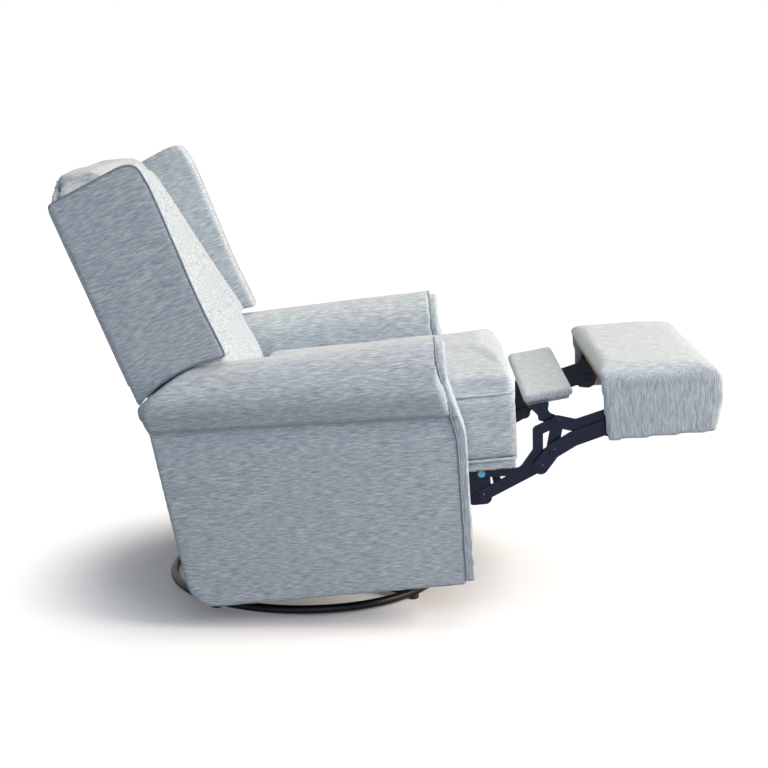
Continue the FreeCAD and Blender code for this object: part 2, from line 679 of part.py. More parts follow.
def make_torque_tube():
    """Square tube across the chair that keeps the two rear links together."""
    half = TORQUE_TUBE_SIDE / 2
    along_y = PIVOT_KNEE[0] - PIVOT_REAR[0]
    along_z = PIVOT_KNEE[1] - PIVOT_REAR[1]
    share = TORQUE_TUBE_FROM_PIVOT / math.hypot(along_y, along_z)
    y = PIVOT_REAR[0] + along_y * share
    z = PIVOT_REAR[1] + along_z * share
    corners = [(y - half, z - half, 2), (y + half, z - half, 2)]
    corners += [(y + half, z + half, 2), (y - half, z + half, 2)]
    return side_prism(corners, -REAR_LINK_X, REAR_LINK_X)


def footrest_frame(y_from_rear, depth):
    """Point of the footrest: distance from its rear edge along the top, and depth below it."""
    slope = math.radians(FOOTREST_TOP_SLOPE)
    y = FOOTREST_REAR_Y - y_from_rear * math.cos(slope) + depth * math.sin(slope)
    z = FOOTREST_TOP_REAR_Z - y_from_rear * math.sin(slope) - depth * math.cos(slope)
    return (y, z)


def make_footrest_bracket():
    """Stamped bracket under the footrest board, with both link pivots of its side."""
    depth = FOOTREST_PAD + FOOTREST_BOARD
    rear_top = footrest_frame(FOOTREST_BRACKET_REAR, depth)
    front_top = footrest_frame(FOOTREST_BRACKET_FRONT, depth)
    front_low = footrest_frame(FOOTREST_BRACKET_FRONT, depth + 16)
    corners = [(rear_top[0], rear_top[1], 0), (front_top[0], front_top[1], 0)]
    corners += [(front_low[0], front_low[1], 4)]
    corners += [(PIVOT_FOOTREST_TOP[0] - 14, PIVOT_FOOTREST_TOP[1] - 12, 14)]
    corners += [(PIVOT_FOOTREST[0] - 14, PIVOT_FOOTREST[1] - 14, 12)]
    corners += [(PIVOT_FOOTREST[0] + 13, PIVOT_FOOTREST[1] - 14, 12)]
    plate = side_prism(corners, BRACKET_X, BRACKET_X + LINK_STEEL)
    flange_corners = [(rear_top[0], rear_top[1], 0), (front_top[0], front_top[1], 0)]
    low_front = footrest_frame(FOOTREST_BRACKET_FRONT, depth + LINK_STEEL)
    low_rear = footrest_frame(FOOTREST_BRACKET_REAR, depth + LINK_STEEL)
    flange_corners += [(low_front[0], low_front[1], 0), (low_rear[0], low_rear[1], 0)]
    flange = side_prism(flange_corners, BRACKET_X - FOOTREST_FLANGE, BRACKET_X)
    stud_low = UPPER_LINK_X + LINK_STEEL + SEATING_GAP
    stud = rod(stud_low, BRACKET_X, PIVOT_FOOTREST_TOP[0], PIVOT_FOOTREST_TOP[1], RIVET_DIAMETER / 2)
    plate = joined([plate, flange, stud])
    return pivot_hole(plate, PIVOT_FOOTREST, BRACKET_X, False)


def make_long_link_rivets():
    """Rivet of the footrest, and a stub head on the knee end of the link."""
    foot = rivet(PIVOT_FOOTREST, LONG_LINK_X, BRACKET_X + LINK_STEEL)
    head = RIVET_HEAD_DIAMETER / 2
    stub = Part.makeCone(head, head - RIVET_HEAD_HEIGHT, RIVET_HEAD_HEIGHT,
                         Vector(LONG_LINK_X + LINK_STEEL, PIVOT_KNEE[0], PIVOT_KNEE[1]), Vector(1, 0, 0))
    return both_sides([foot, stub])


def make_footrest_pad():
    """Padded top that turns down over the front edge and both sides, open below and behind."""
    rear_top = footrest_frame(0, 0)
    front_top = footrest_frame(FOOTREST_TOP_LENGTH, 0)
    corners = [(rear_top[0], rear_top[1], 12), (front_top[0] + 2, front_top[1], 44)]
    corners += [(FOOTREST_FRONT_Y, FOOTREST_FLAP_BOTTOM + 70, 30)]
    corners += [(FOOTREST_FRONT_Y + 20, FOOTREST_FLAP_BOTTOM, 6)]
    corners += [(FOOTREST_REAR_Y - 7, FOOTREST_FLAP_BOTTOM, 8)]
    corners += [(FOOTREST_REAR_Y - 2, FOOTREST_TOP_REAR_Z - 28, 20)]
    outer = side_prism(corners, -FOOTREST_HALF_WIDTH, FOOTREST_HALF_WIDTH)
    shoulder = FOOTREST_SHOULDER
    top = FOOTREST_TOP_REAR_Z
    low = FOOTREST_FLAP_BOTTOM - 1
    section = [(-FOOTREST_HALF_WIDTH, low, 0), (-FOOTREST_HALF_WIDTH, top, shoulder)]
    section += [(FOOTREST_HALF_WIDTH, top, shoulder), (FOOTREST_HALF_WIDTH, low, 0)]
    rounded = front_prism(section, FOOTREST_FRONT_Y - PAST, FOOTREST_REAR_Y + PAST)
    outer = outer.common(rounded)
    inner_front = FOOTREST_REAR_Y - FOOTREST_INNER_LENGTH
    depth = FOOTREST_PAD
    board_rear = footrest_frame(-40, depth)
    board_front = footrest_frame(FOOTREST_INNER_LENGTH, depth)
    inner = [(board_rear[0], board_rear[1], 0), (board_front[0], board_front[1], 4)]
    inner += [(inner_front + 1, FOOTREST_FLAP_BOTTOM - 40, 0)]
    inner += [(board_rear[0], FOOTREST_FLAP_BOTTOM - 40, 0)]
    half = FOOTREST_HALF_WIDTH - FOOTREST_FLAP
    return outer.cut(side_prism(inner, -half, half))


def make_footrest_board():
    half = FOOTREST_HALF_WIDTH - FOOTREST_FLAP
    top = FOOTREST_PAD
    bottom = FOOTREST_PAD + FOOTREST_BOARD
    rear = 10
    front = FOOTREST_INNER_LENGTH - 4
    corners = []
    for along, down in ((rear, top), (front, top), (front, bottom), (rear, bottom)):
        point = footrest_frame(along, down)
        corners.append((point[0], point[1], 0))
    return side_prism(corners, -half, half)


def flipper_slope_z(y):
    share = (FLIPPER_REAR_Y - y) / (FLIPPER_REAR_Y - FLIPPER_FRONT_Y)
    return FLIPPER_TOP_Z + FLIPPER_RISE * share


def make_flipper_pad():
    rear = FLIPPER_REAR_Y
    front = FLIPPER_FRONT_Y
    corners = [(rear, flipper_slope_z(rear), 10), (front, flipper_slope_z(front), 10)]
    corners += [(front, flipper_slope_z(front) - FLIPPER_PAD, 5)]
    corners += [(rear, flipper_slope_z(rear) - FLIPPER_PAD, 5)]
    return side_prism(corners, -FLIPPER_HALF_WIDTH, FLIPPER_HALF_WIDTH)


def make_flipper_board():
    rear = FLIPPER_REAR_Y - 6
    front = FLIPPER_FRONT_Y + 6
    rear_z = flipper_slope_z(rear) - FLIPPER_PAD
    front_z = flipper_slope_z(front) - FLIPPER_PAD
    corners = [(rear, rear_z, 0), (front, front_z, 0)]
    corners += [(front, front_z - FLIPPER_BOARD, 0), (rear, rear_z - FLIPPER_BOARD, 0)]
    return side_prism(corners, 10 - FLIPPER_HALF_WIDTH, FLIPPER_HALF_WIDTH - 10)


def make_flipper_bracket():
    """Bracket from the upper pivot to the board of the small pad."""
    under = FLIPPER_PAD + FLIPPER_BOARD
    y, z = PIVOT_UPPER
    rear = FLIPPER_BRACKET_REAR_Y
    front = FLIPPER_BRACKET_FRONT_Y
    rear_z = flipper_slope_z(rear) - under
    front_z = flipper_slope_z(front) - under
    corners = [(rear, rear_z, 0), (front, front_z, 0)]
    corners += [(front + 4, z + 19, 20), (y - 12, z + 4, 10), (y - 4, z - 13, 10)]
    corners += [(y + 38, z + 4, 4), (y + 38, z + 14, 4)]
    plate = side_prism(corners, PLATE_INNER_X, PLATE_INNER_X + LINK_STEEL)
    flange = [(rear, rear_z, 0), (front, front_z, 0)]
    flange += [(front, front_z - LINK_STEEL, 0), (rear, rear_z - LINK_STEEL, 0)]
    plate = plate.fuse(side_prism(flange, PLATE_INNER_X - 26, PLATE_INNER_X)).removeSplitter()
    return pivot_hole(plate, PIVOT_UPPER, PLATE_INNER_X, False)


# Seat

SEAT_FRAME_TOP = SEAT_FRAME_BOTTOM + SEAT_FRAME_HEIGHT
FRAME_FRONT_Y = SEAT_FRONT_Y + BORDER_THICKNESS + 4
FRAME_HALF_WIDTH = SEAT_HALF_WIDTH - BORDER_THICKNESS
FRAME_REAR_Y = SEAT_REAR_Y - 10


def make_seat_frame():
    """Four hardwood boards under the cushion."""
    inner_half = FRAME_HALF_WIDTH - SEAT_RAIL_WIDTH
    front_inner = FRAME_FRONT_Y + SEAT_RAIL_WIDTH
    rear_inner = FRAME_REAR_Y - SEAT_RAIL_WIDTH
    boards = []
    low = SEAT_FRAME_BOTTOM
    high = SEAT_FRAME_TOP
    for low_y, high_y in ((FRAME_FRONT_Y, front_inner), (rear_inner, FRAME_REAR_Y)):
        boards.append(block((-FRAME_HALF_WIDTH, low_y, low), (FRAME_HALF_WIDTH, high_y, high)))
    for sign in (-1, 1):
        span = sorted((sign * inner_half, sign * FRAME_HALF_WIDTH))
        boards.append(block((span[0], front_inner, low), (span[1], rear_inner, high)))
    return Part.makeCompound(boards)


def make_zigzag(x):
    """Flat zigzag spring wire from the front rail to the rear rail."""
    start = FRAME_FRONT_Y + SEAT_RAIL_WIDTH
    end = FRAME_REAR_Y - SEAT_RAIL_WIDTH
    pitch = (end - start) / SPRING_LOOPS
    z = SEAT_FRAME_TOP - SPRING_WIRE - 1
    half = SPRING_WIDTH / 2
    outer = pitch / 2 + SPRING_WIRE / 2
    inner = pitch / 2 - SPRING_WIRE / 2
    pieces = []
    for index in range(SPRING_LOOPS + 1):
        y = start + index * pitch
        low = y - SPRING_WIRE / 2
        high = y + SPRING_WIRE / 2
        if index == 0:
            low = start
        if index == SPRING_LOOPS:
            high = end
        pieces.append(block((x - half + outer, low, z), (x + half - outer, high, z + SPRING_WIRE)))
        if index == SPRING_LOOPS:
            break
        sign = 1 if index % 2 == 0 else -1
        centre = Vector(x + sign * (half - outer), y + pitch / 2, z)
        bend = Part.makeCylinder(outer, SPRING_WIRE, centre)
        bend = bend.cut(Part.makeCylinder(inner, SPRING_WIRE, centre))
        keep = sorted((centre.x, centre.x + sign * outer))
        bend = bend.common(block((keep[0], y - outer, z), (keep[1], y + pitch + outer, z + SPRING_WIRE)))
        pieces.append(bend)
    between = block((x - half, start, z), (x + half, end, z + SPRING_WIRE))
    return joined(pieces).common(between)


def make_seat_springs():
    inner_half = FRAME_HALF_WIDTH - SEAT_RAIL_WIDTH
    springs = []
    for index in range(SPRING_COUNT):
        x = -inner_half + (index + 0.5) * 2 * inner_half / SPRING_COUNT
        springs.append(make_zigzag(x))
    return Part.makeCompound(springs)


def make_seat_border():
    """Cloth band round the front and sides of the seat frame, below the cushion."""
    low = SEAT_FRAME_BOTTOM - 1
    high = SEAT_FRAME_TOP
    front = FRAME_FRONT_Y - BORDER_THICKNESS
    outer = block((-SEAT_HALF_WIDTH, front, low), (SEAT_HALF_WIDTH, FRAME_REAR_Y, high))
    inner = block((-FRAME_HALF_WIDTH, FRAME_FRONT_Y, low), (FRAME_HALF_WIDTH, FRAME_REAR_Y, high))
    return outer.cut(inner)


def make_seat_cushion():
    """Boxed cushion with a crowned top and a rounded front."""
    low = SEAT_FRAME_TOP + SEATING_GAP
    side = [(SEAT_FRONT_Y, low, 5), (SEAT_FRONT_Y - 4, SEAT_WELT_Z + 10, 60)]
    side += [(SEAT_FRONT_Y + 12, SEAT_CROWN_Z + 2, 48), (-330, SEAT_CROWN_Z - 2, 200)]
    side += [(SEAT_REAR_Y, SEAT_SHOULDER_Z + 14, 12), (SEAT_REAR_Y, low, 5)]
    body = side_prism(side, -SEAT_HALF_WIDTH, SEAT_HALF_WIDTH)
    upper_half = ROLL_INNER_X - SOFT_GAP
    section = [(-SEAT_HALF_WIDTH, low - 5, 0), (-SEAT_HALF_WIDTH, ARM_SEAM_FRONT_Z + 6, 10)]
    section += [(-upper_half, ARM_SEAM_FRONT_Z + 28, 12), (-upper_half, SEAT_SHOULDER_Z, 24)]
    section += [(112 - SEAT_HALF_WIDTH, SEAT_CROWN_Z - 8, 200)]
    section += [(-x, z, radius) for x, z, radius in reversed(section)]
    return body.common(front_prism(section, SEAT_FRONT_Y - 20, SEAT_REAR_Y + 20))


# Arms

def arm_section(y, crest, seam, inset):
    """Arm outline across the chair at one place: flat below the seam and a full roll above."""
    width = ROLL_OUTER_X - ROLL_INNER_X
    radius = width / 2 - 0.5 - inset
    corners = [(ARM_INNER_X + inset, ARM_BOTTOM_Z + inset, 2), (ARM_OUTER_X - inset, ARM_BOTTOM_Z + inset, 6)]
    corners += [(ARM_OUTER_X - inset, seam, 2), (ARM_OUTER_X + 8 - inset, seam + 3, 5)]
    corners += [(ROLL_OUTER_X - inset, crest, radius - 1), (ROLL_INNER_X + inset, crest, radius - 1)]
    corners += [(ROLL_INNER_X + inset, seam + 18 + inset, 20), (ARM_INNER_X + inset, seam + 18 + inset, 4)]
    return curved_wire(corners, lambda x, z: Vector(x, y, z - inset if z == crest else z))


def arm_side_corners(forward):
    """Side outline of an arm, with its shallow S front edge moved forward by an amount."""
    above = ARM_CREST_FRONT_Z + PAST
    corners = [(ARM_FRONT_Y + 23 - forward, above, 0), (ARM_FRONT_Y + 23 - forward, 480, 90)]
    corners += [(ARM_FRONT_Y - 4 - forward, 372, 110), (ARM_FRONT_Y + 3 - forward, ARM_BOTTOM_Z, 4)]
    corners += [(ARM_REAR_BOTTOM_Y - 4, ARM_BOTTOM_Z, 62), (ARM_REAR_TOP_Y, ARM_REAR_TOP_Z, 0)]
    corners += [(ARM_REAR_TOP_Y, above, 0)]
    return corners


def make_arm_block():
    front = arm_section(ARM_LOFT_FRONT_Y, ARM_CREST_FRONT_Z, ARM_SEAM_FRONT_Z, 0)
    rear = arm_section(ARM_LOFT_REAR_Y, ARM_CREST_REAR_Z, ARM_SEAM_REAR_Z, 0)
    arm = Part.makeLoft([front, rear], True, True)
    low = ROLL_INNER_X - PAST
    high = ROLL_OUTER_X + PAST
    arm = arm.common(side_prism(arm_side_corners(0), low, high))
    rear = ARM_LOFT_REAR_Y + PAST
    above = block((low, HINGE_Y, HINGE_Z + 100), (high, rear, HINGE_Z + ARM_ARC_RADIUS + PAST))
    above = above.cut(rod(low, high, HINGE_Y, HINGE_Z, ARM_ARC_RADIUS))
    return arm.cut(above)


def arm_cavity_corners(inset):
    front = ARM_FRONT_Y + 16 + inset
    low = ARM_BOTTOM_Z + inset
    corners = [(front, ARM_CAVITY_TOP, 6), (front, low, 4), (ARM_REAR_BOTTOM_Y - 14 - inset, low, 60)]
    corners += [(ARM_REAR_TOP_Y - 24 - inset, ARM_CAVITY_TOP, 6)]
    return corners


CAVITY_LOW_X = ARM_INNER_X + ARM_WALL
CAVITY_HIGH_X = ARM_OUTER_X - ARM_WALL


def make_arm_cover(arm):
    cavity = side_prism(arm_cavity_corners(ARM_WALL), CAVITY_LOW_X, CAVITY_HIGH_X)
    return arm.cut(cavity)


def make_arm_frame():
    """Hardwood posts and rails inside the arm."""
    cavity = side_prism(arm_cavity_corners(ARM_WALL), CAVITY_LOW_X, CAVITY_HIGH_X)
    front = ARM_FRONT_Y + 16 + ARM_WALL
    rear = ARM_REAR_TOP_Y - 24 - ARM_WALL
    low = ARM_BOTTOM_Z + ARM_WALL
    high = ARM_CAVITY_TOP
    front_inner = front + 2 * ARM_BOARD
    rear_inner = rear - ARM_REAR_POST
    pieces = [block((CAVITY_LOW_X, front, low), (CAVITY_HIGH_X, front_inner, high))]
    pieces.append(block((CAVITY_LOW_X, rear_inner, low), (CAVITY_HIGH_X, rear, high)))
    rails = [(low, low + 2 * ARM_BOARD), (high - 2 * ARM_BOARD, high), (ARM_SPACER_BOTTOM, ARM_SPACER_TOP)]
    for z_low, z_high in rails:
        rail = block((CAVITY_LOW_X, front_inner, z_low), (CAVITY_LOW_X + ARM_BOARD, rear_inner, z_high))
        pieces.append(rail)
    return Part.makeCompound([piece.common(cavity) for piece in pieces])


def make_arm_front(arm):
    """Padded panel that follows the outline of the arm on its front face."""
    crest = ARM_CREST_FRONT_Z - FRONT_PANEL_INSET
    face = arm_section(ARM_LOFT_FRONT_Y - PAST, crest, ARM_SEAM_FRONT_Z, FRONT_PANEL_INSET)
    panel = Part.Face(face).extrude(Vector(0, 3 * PAST, 0))
    low = ROLL_INNER_X - PAST
    high = ROLL_OUTER_X + PAST
    panel = panel.common(side_prism(arm_side_corners(FRONT_PANEL_THICKNESS), low, high))
    return panel.cut(side_prism(arm_side_corners(0), low, high))


def make_arm_spacer():
    low = (PLATE_INNER_X + LINK_STEEL, ARM_SPACER_FRONT_Y, ARM_SPACER_BOTTOM)
    high = (ARM_INNER_X, ARM_SPACER_REAR_Y, ARM_SPACER_TOP)
    spacer = block(low, high)
    clear = rod(low[0], high[0], TILT_Y, TILT_Z, TILT_AXLE_DIAMETER / 2 + 8)
    return spacer.cut(clear)


def make_rear_panel():
    """Upholstered board between the rear ends of the arms."""
    shell = side_prism(arm_side_corners(0), -ARM_INNER_X, ARM_INNER_X)
    slope = (ARM_REAR_TOP_Y - ARM_REAR_BOTTOM_Y) / (ARM_REAR_TOP_Z - ARM_BOTTOM_Z)
    start = ARM_REAR_BOTTOM_Y - REAR_PANEL_THICKNESS
    inner_low = start + (REAR_PANEL_BOTTOM - ARM_BOTTOM_Z) * slope - 6
    inner_high = start + (REAR_PANEL_TOP - ARM_BOTTOM_Z) * slope
    corners = [(inner_low, REAR_PANEL_BOTTOM, 0), (inner_high, REAR_PANEL_TOP, 0)]
    corners += [(inner_high + PAST, REAR_PANEL_TOP, 0), (inner_low + PAST, REAR_PANEL_BOTTOM, 0)]
    return shell.common(side_prism(corners, -ARM_INNER_X, ARM_INNER_X))


# Back

def swept_clear(shape, radius):
    """Keep what lies outside the arc about the back hinge, above the arms."""
    return shape.cut(rod(-ROLL_OUTER_X, ROLL_OUTER_X, HINGE_Y, HINGE_Z, radius))


POST_OUTER_X = PLATE_INNER_X + LINK_STEEL + PLATE_GAP
POST_INNER_X = POST_OUTER_X - POST_WIDTH
FRAME_REAR = BACK_PANEL
FRAME_FRONT = BACK_PANEL + POST_DEPTH


def back_slab(z_low, z_high, near, far, x_low, x_high):
    """Board in the leaning plane of the back, between two distances ahead of its outside."""
    corners = [(back_line(z_low, near), z_low, 0), (back_line(z_high, near), z_high, 0)]
    corners += [(back_line(z_high, far), z_high, 0), (back_line(z_low, far), z_low, 0)]
    return side_prism(corners, x_low, x_high)


def make_back_frame():
    """Two hardwood posts with three rails. The upper rails reach out to the wings."""
    wing_inner = WING_OUTER_X - WING_THICKNESS
    top = BACK_TOP_Z - BACK_FRAME_DROP
    pieces = []
    for sign in (-1, 1):
        span = sorted((sign * POST_INNER_X, sign * POST_OUTER_X))
        post_top = top - RAIL_HEIGHT
        pieces.append(back_slab(POST_BOTTOM_Z, post_top, FRAME_REAR, FRAME_FRONT, span[0], span[1]))
        low = BACK_MIDDLE_RAIL_Z
        span = sorted((sign * POST_OUTER_X, sign * wing_inner))
        pieces.append(back_slab(low, low + RAIL_HEIGHT, FRAME_REAR, FRAME_FRONT, span[0], span[1]))
    pieces.append(back_slab(top - RAIL_HEIGHT, top, FRAME_REAR, FRAME_FRONT, -wing_inner, wing_inner))
    for z in (POST_BOTTOM_Z + 10, BACK_MIDDLE_RAIL_Z):
        high = z + RAIL_HEIGHT
        pieces.append(back_slab(z, high, FRAME_REAR, FRAME_FRONT - 15, -POST_INNER_X, POST_INNER_X))
    return Part.makeCompound(pieces)


def make_back_webbing():
    """Elastic straps up the front of the back frame, from the lowest rail to the top rail."""
    straps = []
    near = FRAME_FRONT
    far = FRAME_FRONT + WEB_THICKNESS
    for index in range(WEB_COUNT):
        x = -POST_INNER_X + (index + 0.5) * 2 * POST_INNER_X / WEB_COUNT
        low = POST_BOTTOM_Z + 20
        high = BACK_TOP_Z - 40
        straps.append(back_slab(low, high, near, far, x - WEB_WIDTH / 2, x + WEB_WIDTH / 2))
    return Part.makeCompound(straps)


def make_back_bracket():
    """Steel arm from the hinge pin up the outer face of the back post."""
    low = POST_BOTTOM_Z + 4
    high = POST_BOTTOM_Z + 150
    corners = [(HINGE_Y - 17, HINGE_Z - 17, 16.9), (HINGE_Y - 17, HINGE_Z + 17, 16.9)]
    corners += [(back_line(low + 30, FRAME_FRONT), low + 34, 20)]
    corners += [(back_line(high, FRAME_FRONT - 4), high, 8), (back_line(high, FRAME_REAR + 6), high, 8)]
    corners += [(back_line(low, FRAME_REAR + 6), low, 16)]
    plate = side_prism(corners, POST_OUTER_X, POST_OUTER_X + LINK_STEEL)
    return plate.cut(rod(POST_OUTER_X, POST_OUTER_X + LINK_STEEL, HINGE_Y, HINGE_Z,
                         BACK_PIN_DIAMETER / 2 + HINGE_GAP))


def make_back_pin():
    radius = BACK_PIN_DIAMETER / 2
    low = PLATE_INNER_X - 3
    high = POST_OUTER_X + LINK_STEEL
    gap = 2 * HINGE_GAP
    shank = rod(low, high + gap, HINGE_Y, HINGE_Z, radius)
    head = Part.makeCone(radius + 4, radius + 2, 3, Vector(high + gap, HINGE_Y, HINGE_Z), Vector(1, 0, 0))
    flat = rod(low, PLATE_INNER_X, HINGE_Y, HINGE_Z, radius + 3)
    return joined([shank, head, flat])


def cushion_front(z):
    """Y of the front of the back cushion at its edges."""
    return CUSHION_FOOT[0] + (z - CUSHION_FOOT[1]) * math.tan(math.radians(CUSHION_LEAN))


def make_back_cushion():
    """Padding of the inside back, narrow between the arms and wide between the wings."""
    wing_inner = WING_OUTER_X - WING_THICKNESS - SOFT_GAP
    near = FRAME_FRONT + WEB_THICKNESS + SOFT_GAP
    top = BACK_TOP_Z + BACK_ARCH + 10
    lumbar = CUSHION_BELLY_Z + 120
    front = [(HINGE_Y - 14, CUSHION_BELLY_Z, 60), (cushion_front(lumbar) - 12, lumbar, 200)]
    front += [(cushion_front(top) - 6, top, 30)]
    over = BACK_TOP_Z - BACK_FRAME_DROP + SOFT_GAP
    behind = BACK_PANEL + SOFT_GAP
    low = POST_BOTTOM_Z
    rear = [(back_line(top, behind), top, 12), (back_line(over, behind), over, 0)]
    rear += [(back_line(over, near), over, 0), (back_line(low, near), low, 10), (HINGE_Y - 4, low, 12)]
    wide = side_prism(front + rear, -wing_inner, wing_inner)
    wide = swept_clear(wide, BACK_ARC_RADIUS)
    arch = [(-wing_inner, BACK_FOOT_Z, 0)] + back_arch(wing_inner, 8)
    arch += [(-x, z, radius) for x, z, radius in reversed(arch)]
    wide = wide.common(front_prism(arch, HINGE_Y - 3 * PAST, back_line(top) + PAST))
    narrow = side_prism(front + rear, -CUSHION_NECK_HALF_WIDTH, CUSHION_NECK_HALF_WIDTH)
    return joined([wide, narrow])


def wing_corners():
    corners = [(98, 564, 4), (137, 672, 800), (206, 905, 300), (228, 951, 16)]
    corners += [(258, 949, 60), (BACK_FOOT_Y + 126, BACK_TOP_Z, 6)]
    corners += [(BACK_FOOT_Y, BACK_FOOT_Z, 4), (200, 470, 0)]
    return corners


def make_wing():
    wing = side_prism(wing_corners(), WING_OUTER_X - WING_THICKNESS, WING_OUTER_X)
    return swept_clear(wing, BACK_ARC_RADIUS)


def back_arch(half, rise):
    """Left half of the arched top between the wings, as outline corners."""
    return [(-half, BACK_TOP_Z + 4 + rise, 20), (-half * 0.55, BACK_TOP_Z + BACK_ARCH + rise, 320)]


def make_outside_back():
    """Rear panel of the back with an arched top, a neck between the arms and a wider foot."""
    wing_inner = WING_OUTER_X - WING_THICKNESS
    low = REAR_PANEL_TOP + 2
    foot_half = ARM_INNER_X - 4
    neck_half = BACK_NECK_HALF_WIDTH
    outline = [(-foot_half, low, 6), (-foot_half, ARM_SEAM_FRONT_Z + 6, 6)]
    outline += [(-neck_half, ARM_SEAM_FRONT_Z + 12, 6), (-neck_half, BACK_FOOT_Z + 10, 0)]
    outline += [(-wing_inner, BACK_FOOT_Z + 10, 0)] + back_arch(wing_inner, 0)
    mirrored = [(-x, z, radius) for x, z, radius in reversed(outline)]
    top = BACK_TOP_Z + BACK_ARCH + 10
    sheet = front_prism(outline + mirrored, back_line(low) - PAST, back_line(top) + PAST)
    slab = back_slab(low - 10, top, 0, BACK_PANEL, -WING_OUTER_X, WING_OUTER_X)
    return sheet.common(slab)


def build():
    os.makedirs("parts", exist_ok=True)
    ring = make_ring()
    save("base_ring", ring)
    save("base_spokes", make_spokes(ring))
    save("base_feet", make_glide_feet(ring))
    save("swivel_lower_race", make_lower_race())
    save("swivel_balls", make_balls())
    save("swivel_king_pin", make_king_pin())
    save("swivel_upper_race", make_upper_race())
    save("glide_cross_bars", make_cross_bars())
    save("glide_pins", make_hanger_pins(HANGER_TOP_Z, GLIDE_HALF_WIDTH))
    save("carriage_pins", make_hanger_pins(HANGER_BOTTOM_Z, CARRIAGE_X))
    save("carriage_tubes", make_carriage_tubes())
    save("tilt_axle", make_tilt_axle())
    front_hangers = both_sides([make_hanger(-HANGER_PITCH / 2)])
    rear_hangers = both_sides([make_hanger(HANGER_PITCH / 2)])
    save("hangers_front", front_hangers)
    save("hangers_rear", rear_hangers)

    save_leaned("seat_frame", make_seat_frame())
    save_leaned("seat_springs", make_seat_springs())
    save_leaned("seat_border", make_seat_border())
    save_leaned("seat_cushion", make_seat_cushion())
    save_leaned("rear_panel", make_rear_panel())
    save_leaned("arm_spacers", both_sides([make_arm_spacer()]))
    save_leaned("chair_pins", both_sides([make_rear_link_rivet(), make_back_pin()]))
    save_leaned("pivot_bushes", make_pivot_bushes())
    save_leaned("link_rivets_front", make_front_link_rivets())
    save_leaned("link_rivets_footrest", make_long_link_rivets())
    save_leaned("torque_tube", make_torque_tube())
    save_leaned("footrest_board", make_footrest_board())
    save_leaned("footrest_pad", make_footrest_pad())
    save_leaned("flipper_board", make_flipper_board())
    save_leaned("flipper_pad", make_flipper_pad())
    save_leaned("flipper_brackets", both_sides([make_flipper_bracket()]))
    save_leaned("back_frame", make_back_frame())
    save_leaned("back_webbing", make_back_webbing())
    save_leaned("back_cushion", make_back_cushion())
    save_leaned("outside_back", make_outside_back())

    arm = make_arm_block()
    by_side = {
        "mechanism_plate": make_seat_plate(),
        "front_link": make_front_link(),
        "rear_link": make_rear_link(),
        "long_link": make_long_link(),
        "upper_link": make_upper_link(),
        "footrest_bracket": make_footrest_bracket(),
        "arm_cover": make_arm_cover(arm),
        "arm_frame": make_arm_frame(),
        "arm_front_panel": make_arm_front(arm),
        "back_bracket": make_back_bracket(),
        "wing": make_wing(),
    }
    level = {"glide_side": make_glide_side(), "carriage_side": make_carriage_side()}
    for side, sign in SIDES:
        for name, shape in by_side.items():
            save_leaned(name + "_" + side, on_side(shape, sign))
        for name, shape in level.items():
            save(name + "_" + side, on_side(shape, sign))


build()
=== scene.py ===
# %% [markdown]
# # Swivel glider recliner
# The chair stands on a round steel ring. Its cover is one heathered blue-grey cloth over foam,
# with thin piping on the wings and arm fronts. The footrest is out, on black folding links.
# The CAD model gives every size and place, so this script loads it first and reads from it.

# %% Load the frame
import bmesh
import bpy
import json
import math
import numpy as np
from mathutils import Matrix, Vector, noise
from mathutils.bvhtree import BVHTree


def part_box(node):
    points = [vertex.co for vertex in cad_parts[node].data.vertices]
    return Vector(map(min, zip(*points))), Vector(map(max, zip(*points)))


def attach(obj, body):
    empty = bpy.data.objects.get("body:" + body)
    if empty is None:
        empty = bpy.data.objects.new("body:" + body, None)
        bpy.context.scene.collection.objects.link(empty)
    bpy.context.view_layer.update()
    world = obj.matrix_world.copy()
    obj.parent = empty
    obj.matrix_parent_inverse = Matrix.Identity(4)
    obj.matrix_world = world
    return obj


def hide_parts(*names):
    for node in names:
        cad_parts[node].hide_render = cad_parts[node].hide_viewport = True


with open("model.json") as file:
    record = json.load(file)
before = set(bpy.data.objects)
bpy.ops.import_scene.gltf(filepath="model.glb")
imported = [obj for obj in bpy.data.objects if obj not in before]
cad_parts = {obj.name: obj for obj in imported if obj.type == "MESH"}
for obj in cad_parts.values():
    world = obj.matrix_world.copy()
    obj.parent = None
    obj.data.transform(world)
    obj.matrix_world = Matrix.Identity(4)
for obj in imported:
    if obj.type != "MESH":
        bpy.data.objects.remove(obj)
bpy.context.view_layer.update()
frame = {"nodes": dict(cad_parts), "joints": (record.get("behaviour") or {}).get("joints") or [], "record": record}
MM = 0.001

# %% [markdown]
# The chair leans back on its tilt axle when the footrest comes out. Sizes are easier to read on
# the level chair, so two small functions turn points between the level chair and the leaning one.
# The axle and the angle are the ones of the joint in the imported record.

# %% Level chair and leaning chair
tilt_joint = next(joint for joint in frame["joints"] if joint["name"] == "body_tilt")
tilt_at = Vector(tilt_joint["pos_m"])
tilt_angle = math.radians(-tilt_joint["range_deg"][0])
AXLE_TO_ORIGIN = Matrix.Translation(-tilt_at)
LEAN = Matrix.Translation(tilt_at) @ Matrix.Rotation(tilt_angle, 4, Vector((-1, 0, 0))) @ AXLE_TO_ORIGIN
LEVEL = LEAN.inverted()


def turned(points, matrix):
    """Rows of points, turned by a matrix."""
    array = np.asarray(points, float)
    return array @ np.array(matrix.to_3x3()).T + np.array(matrix.translation)


def level_box(node):
    """Lowest and highest corner of a CAD node, measured on the level chair, in metres."""
    points = turned([vertex.co[:] for vertex in frame["nodes"][node].data.vertices], LEVEL)
    return points.min(0), points.max(0)


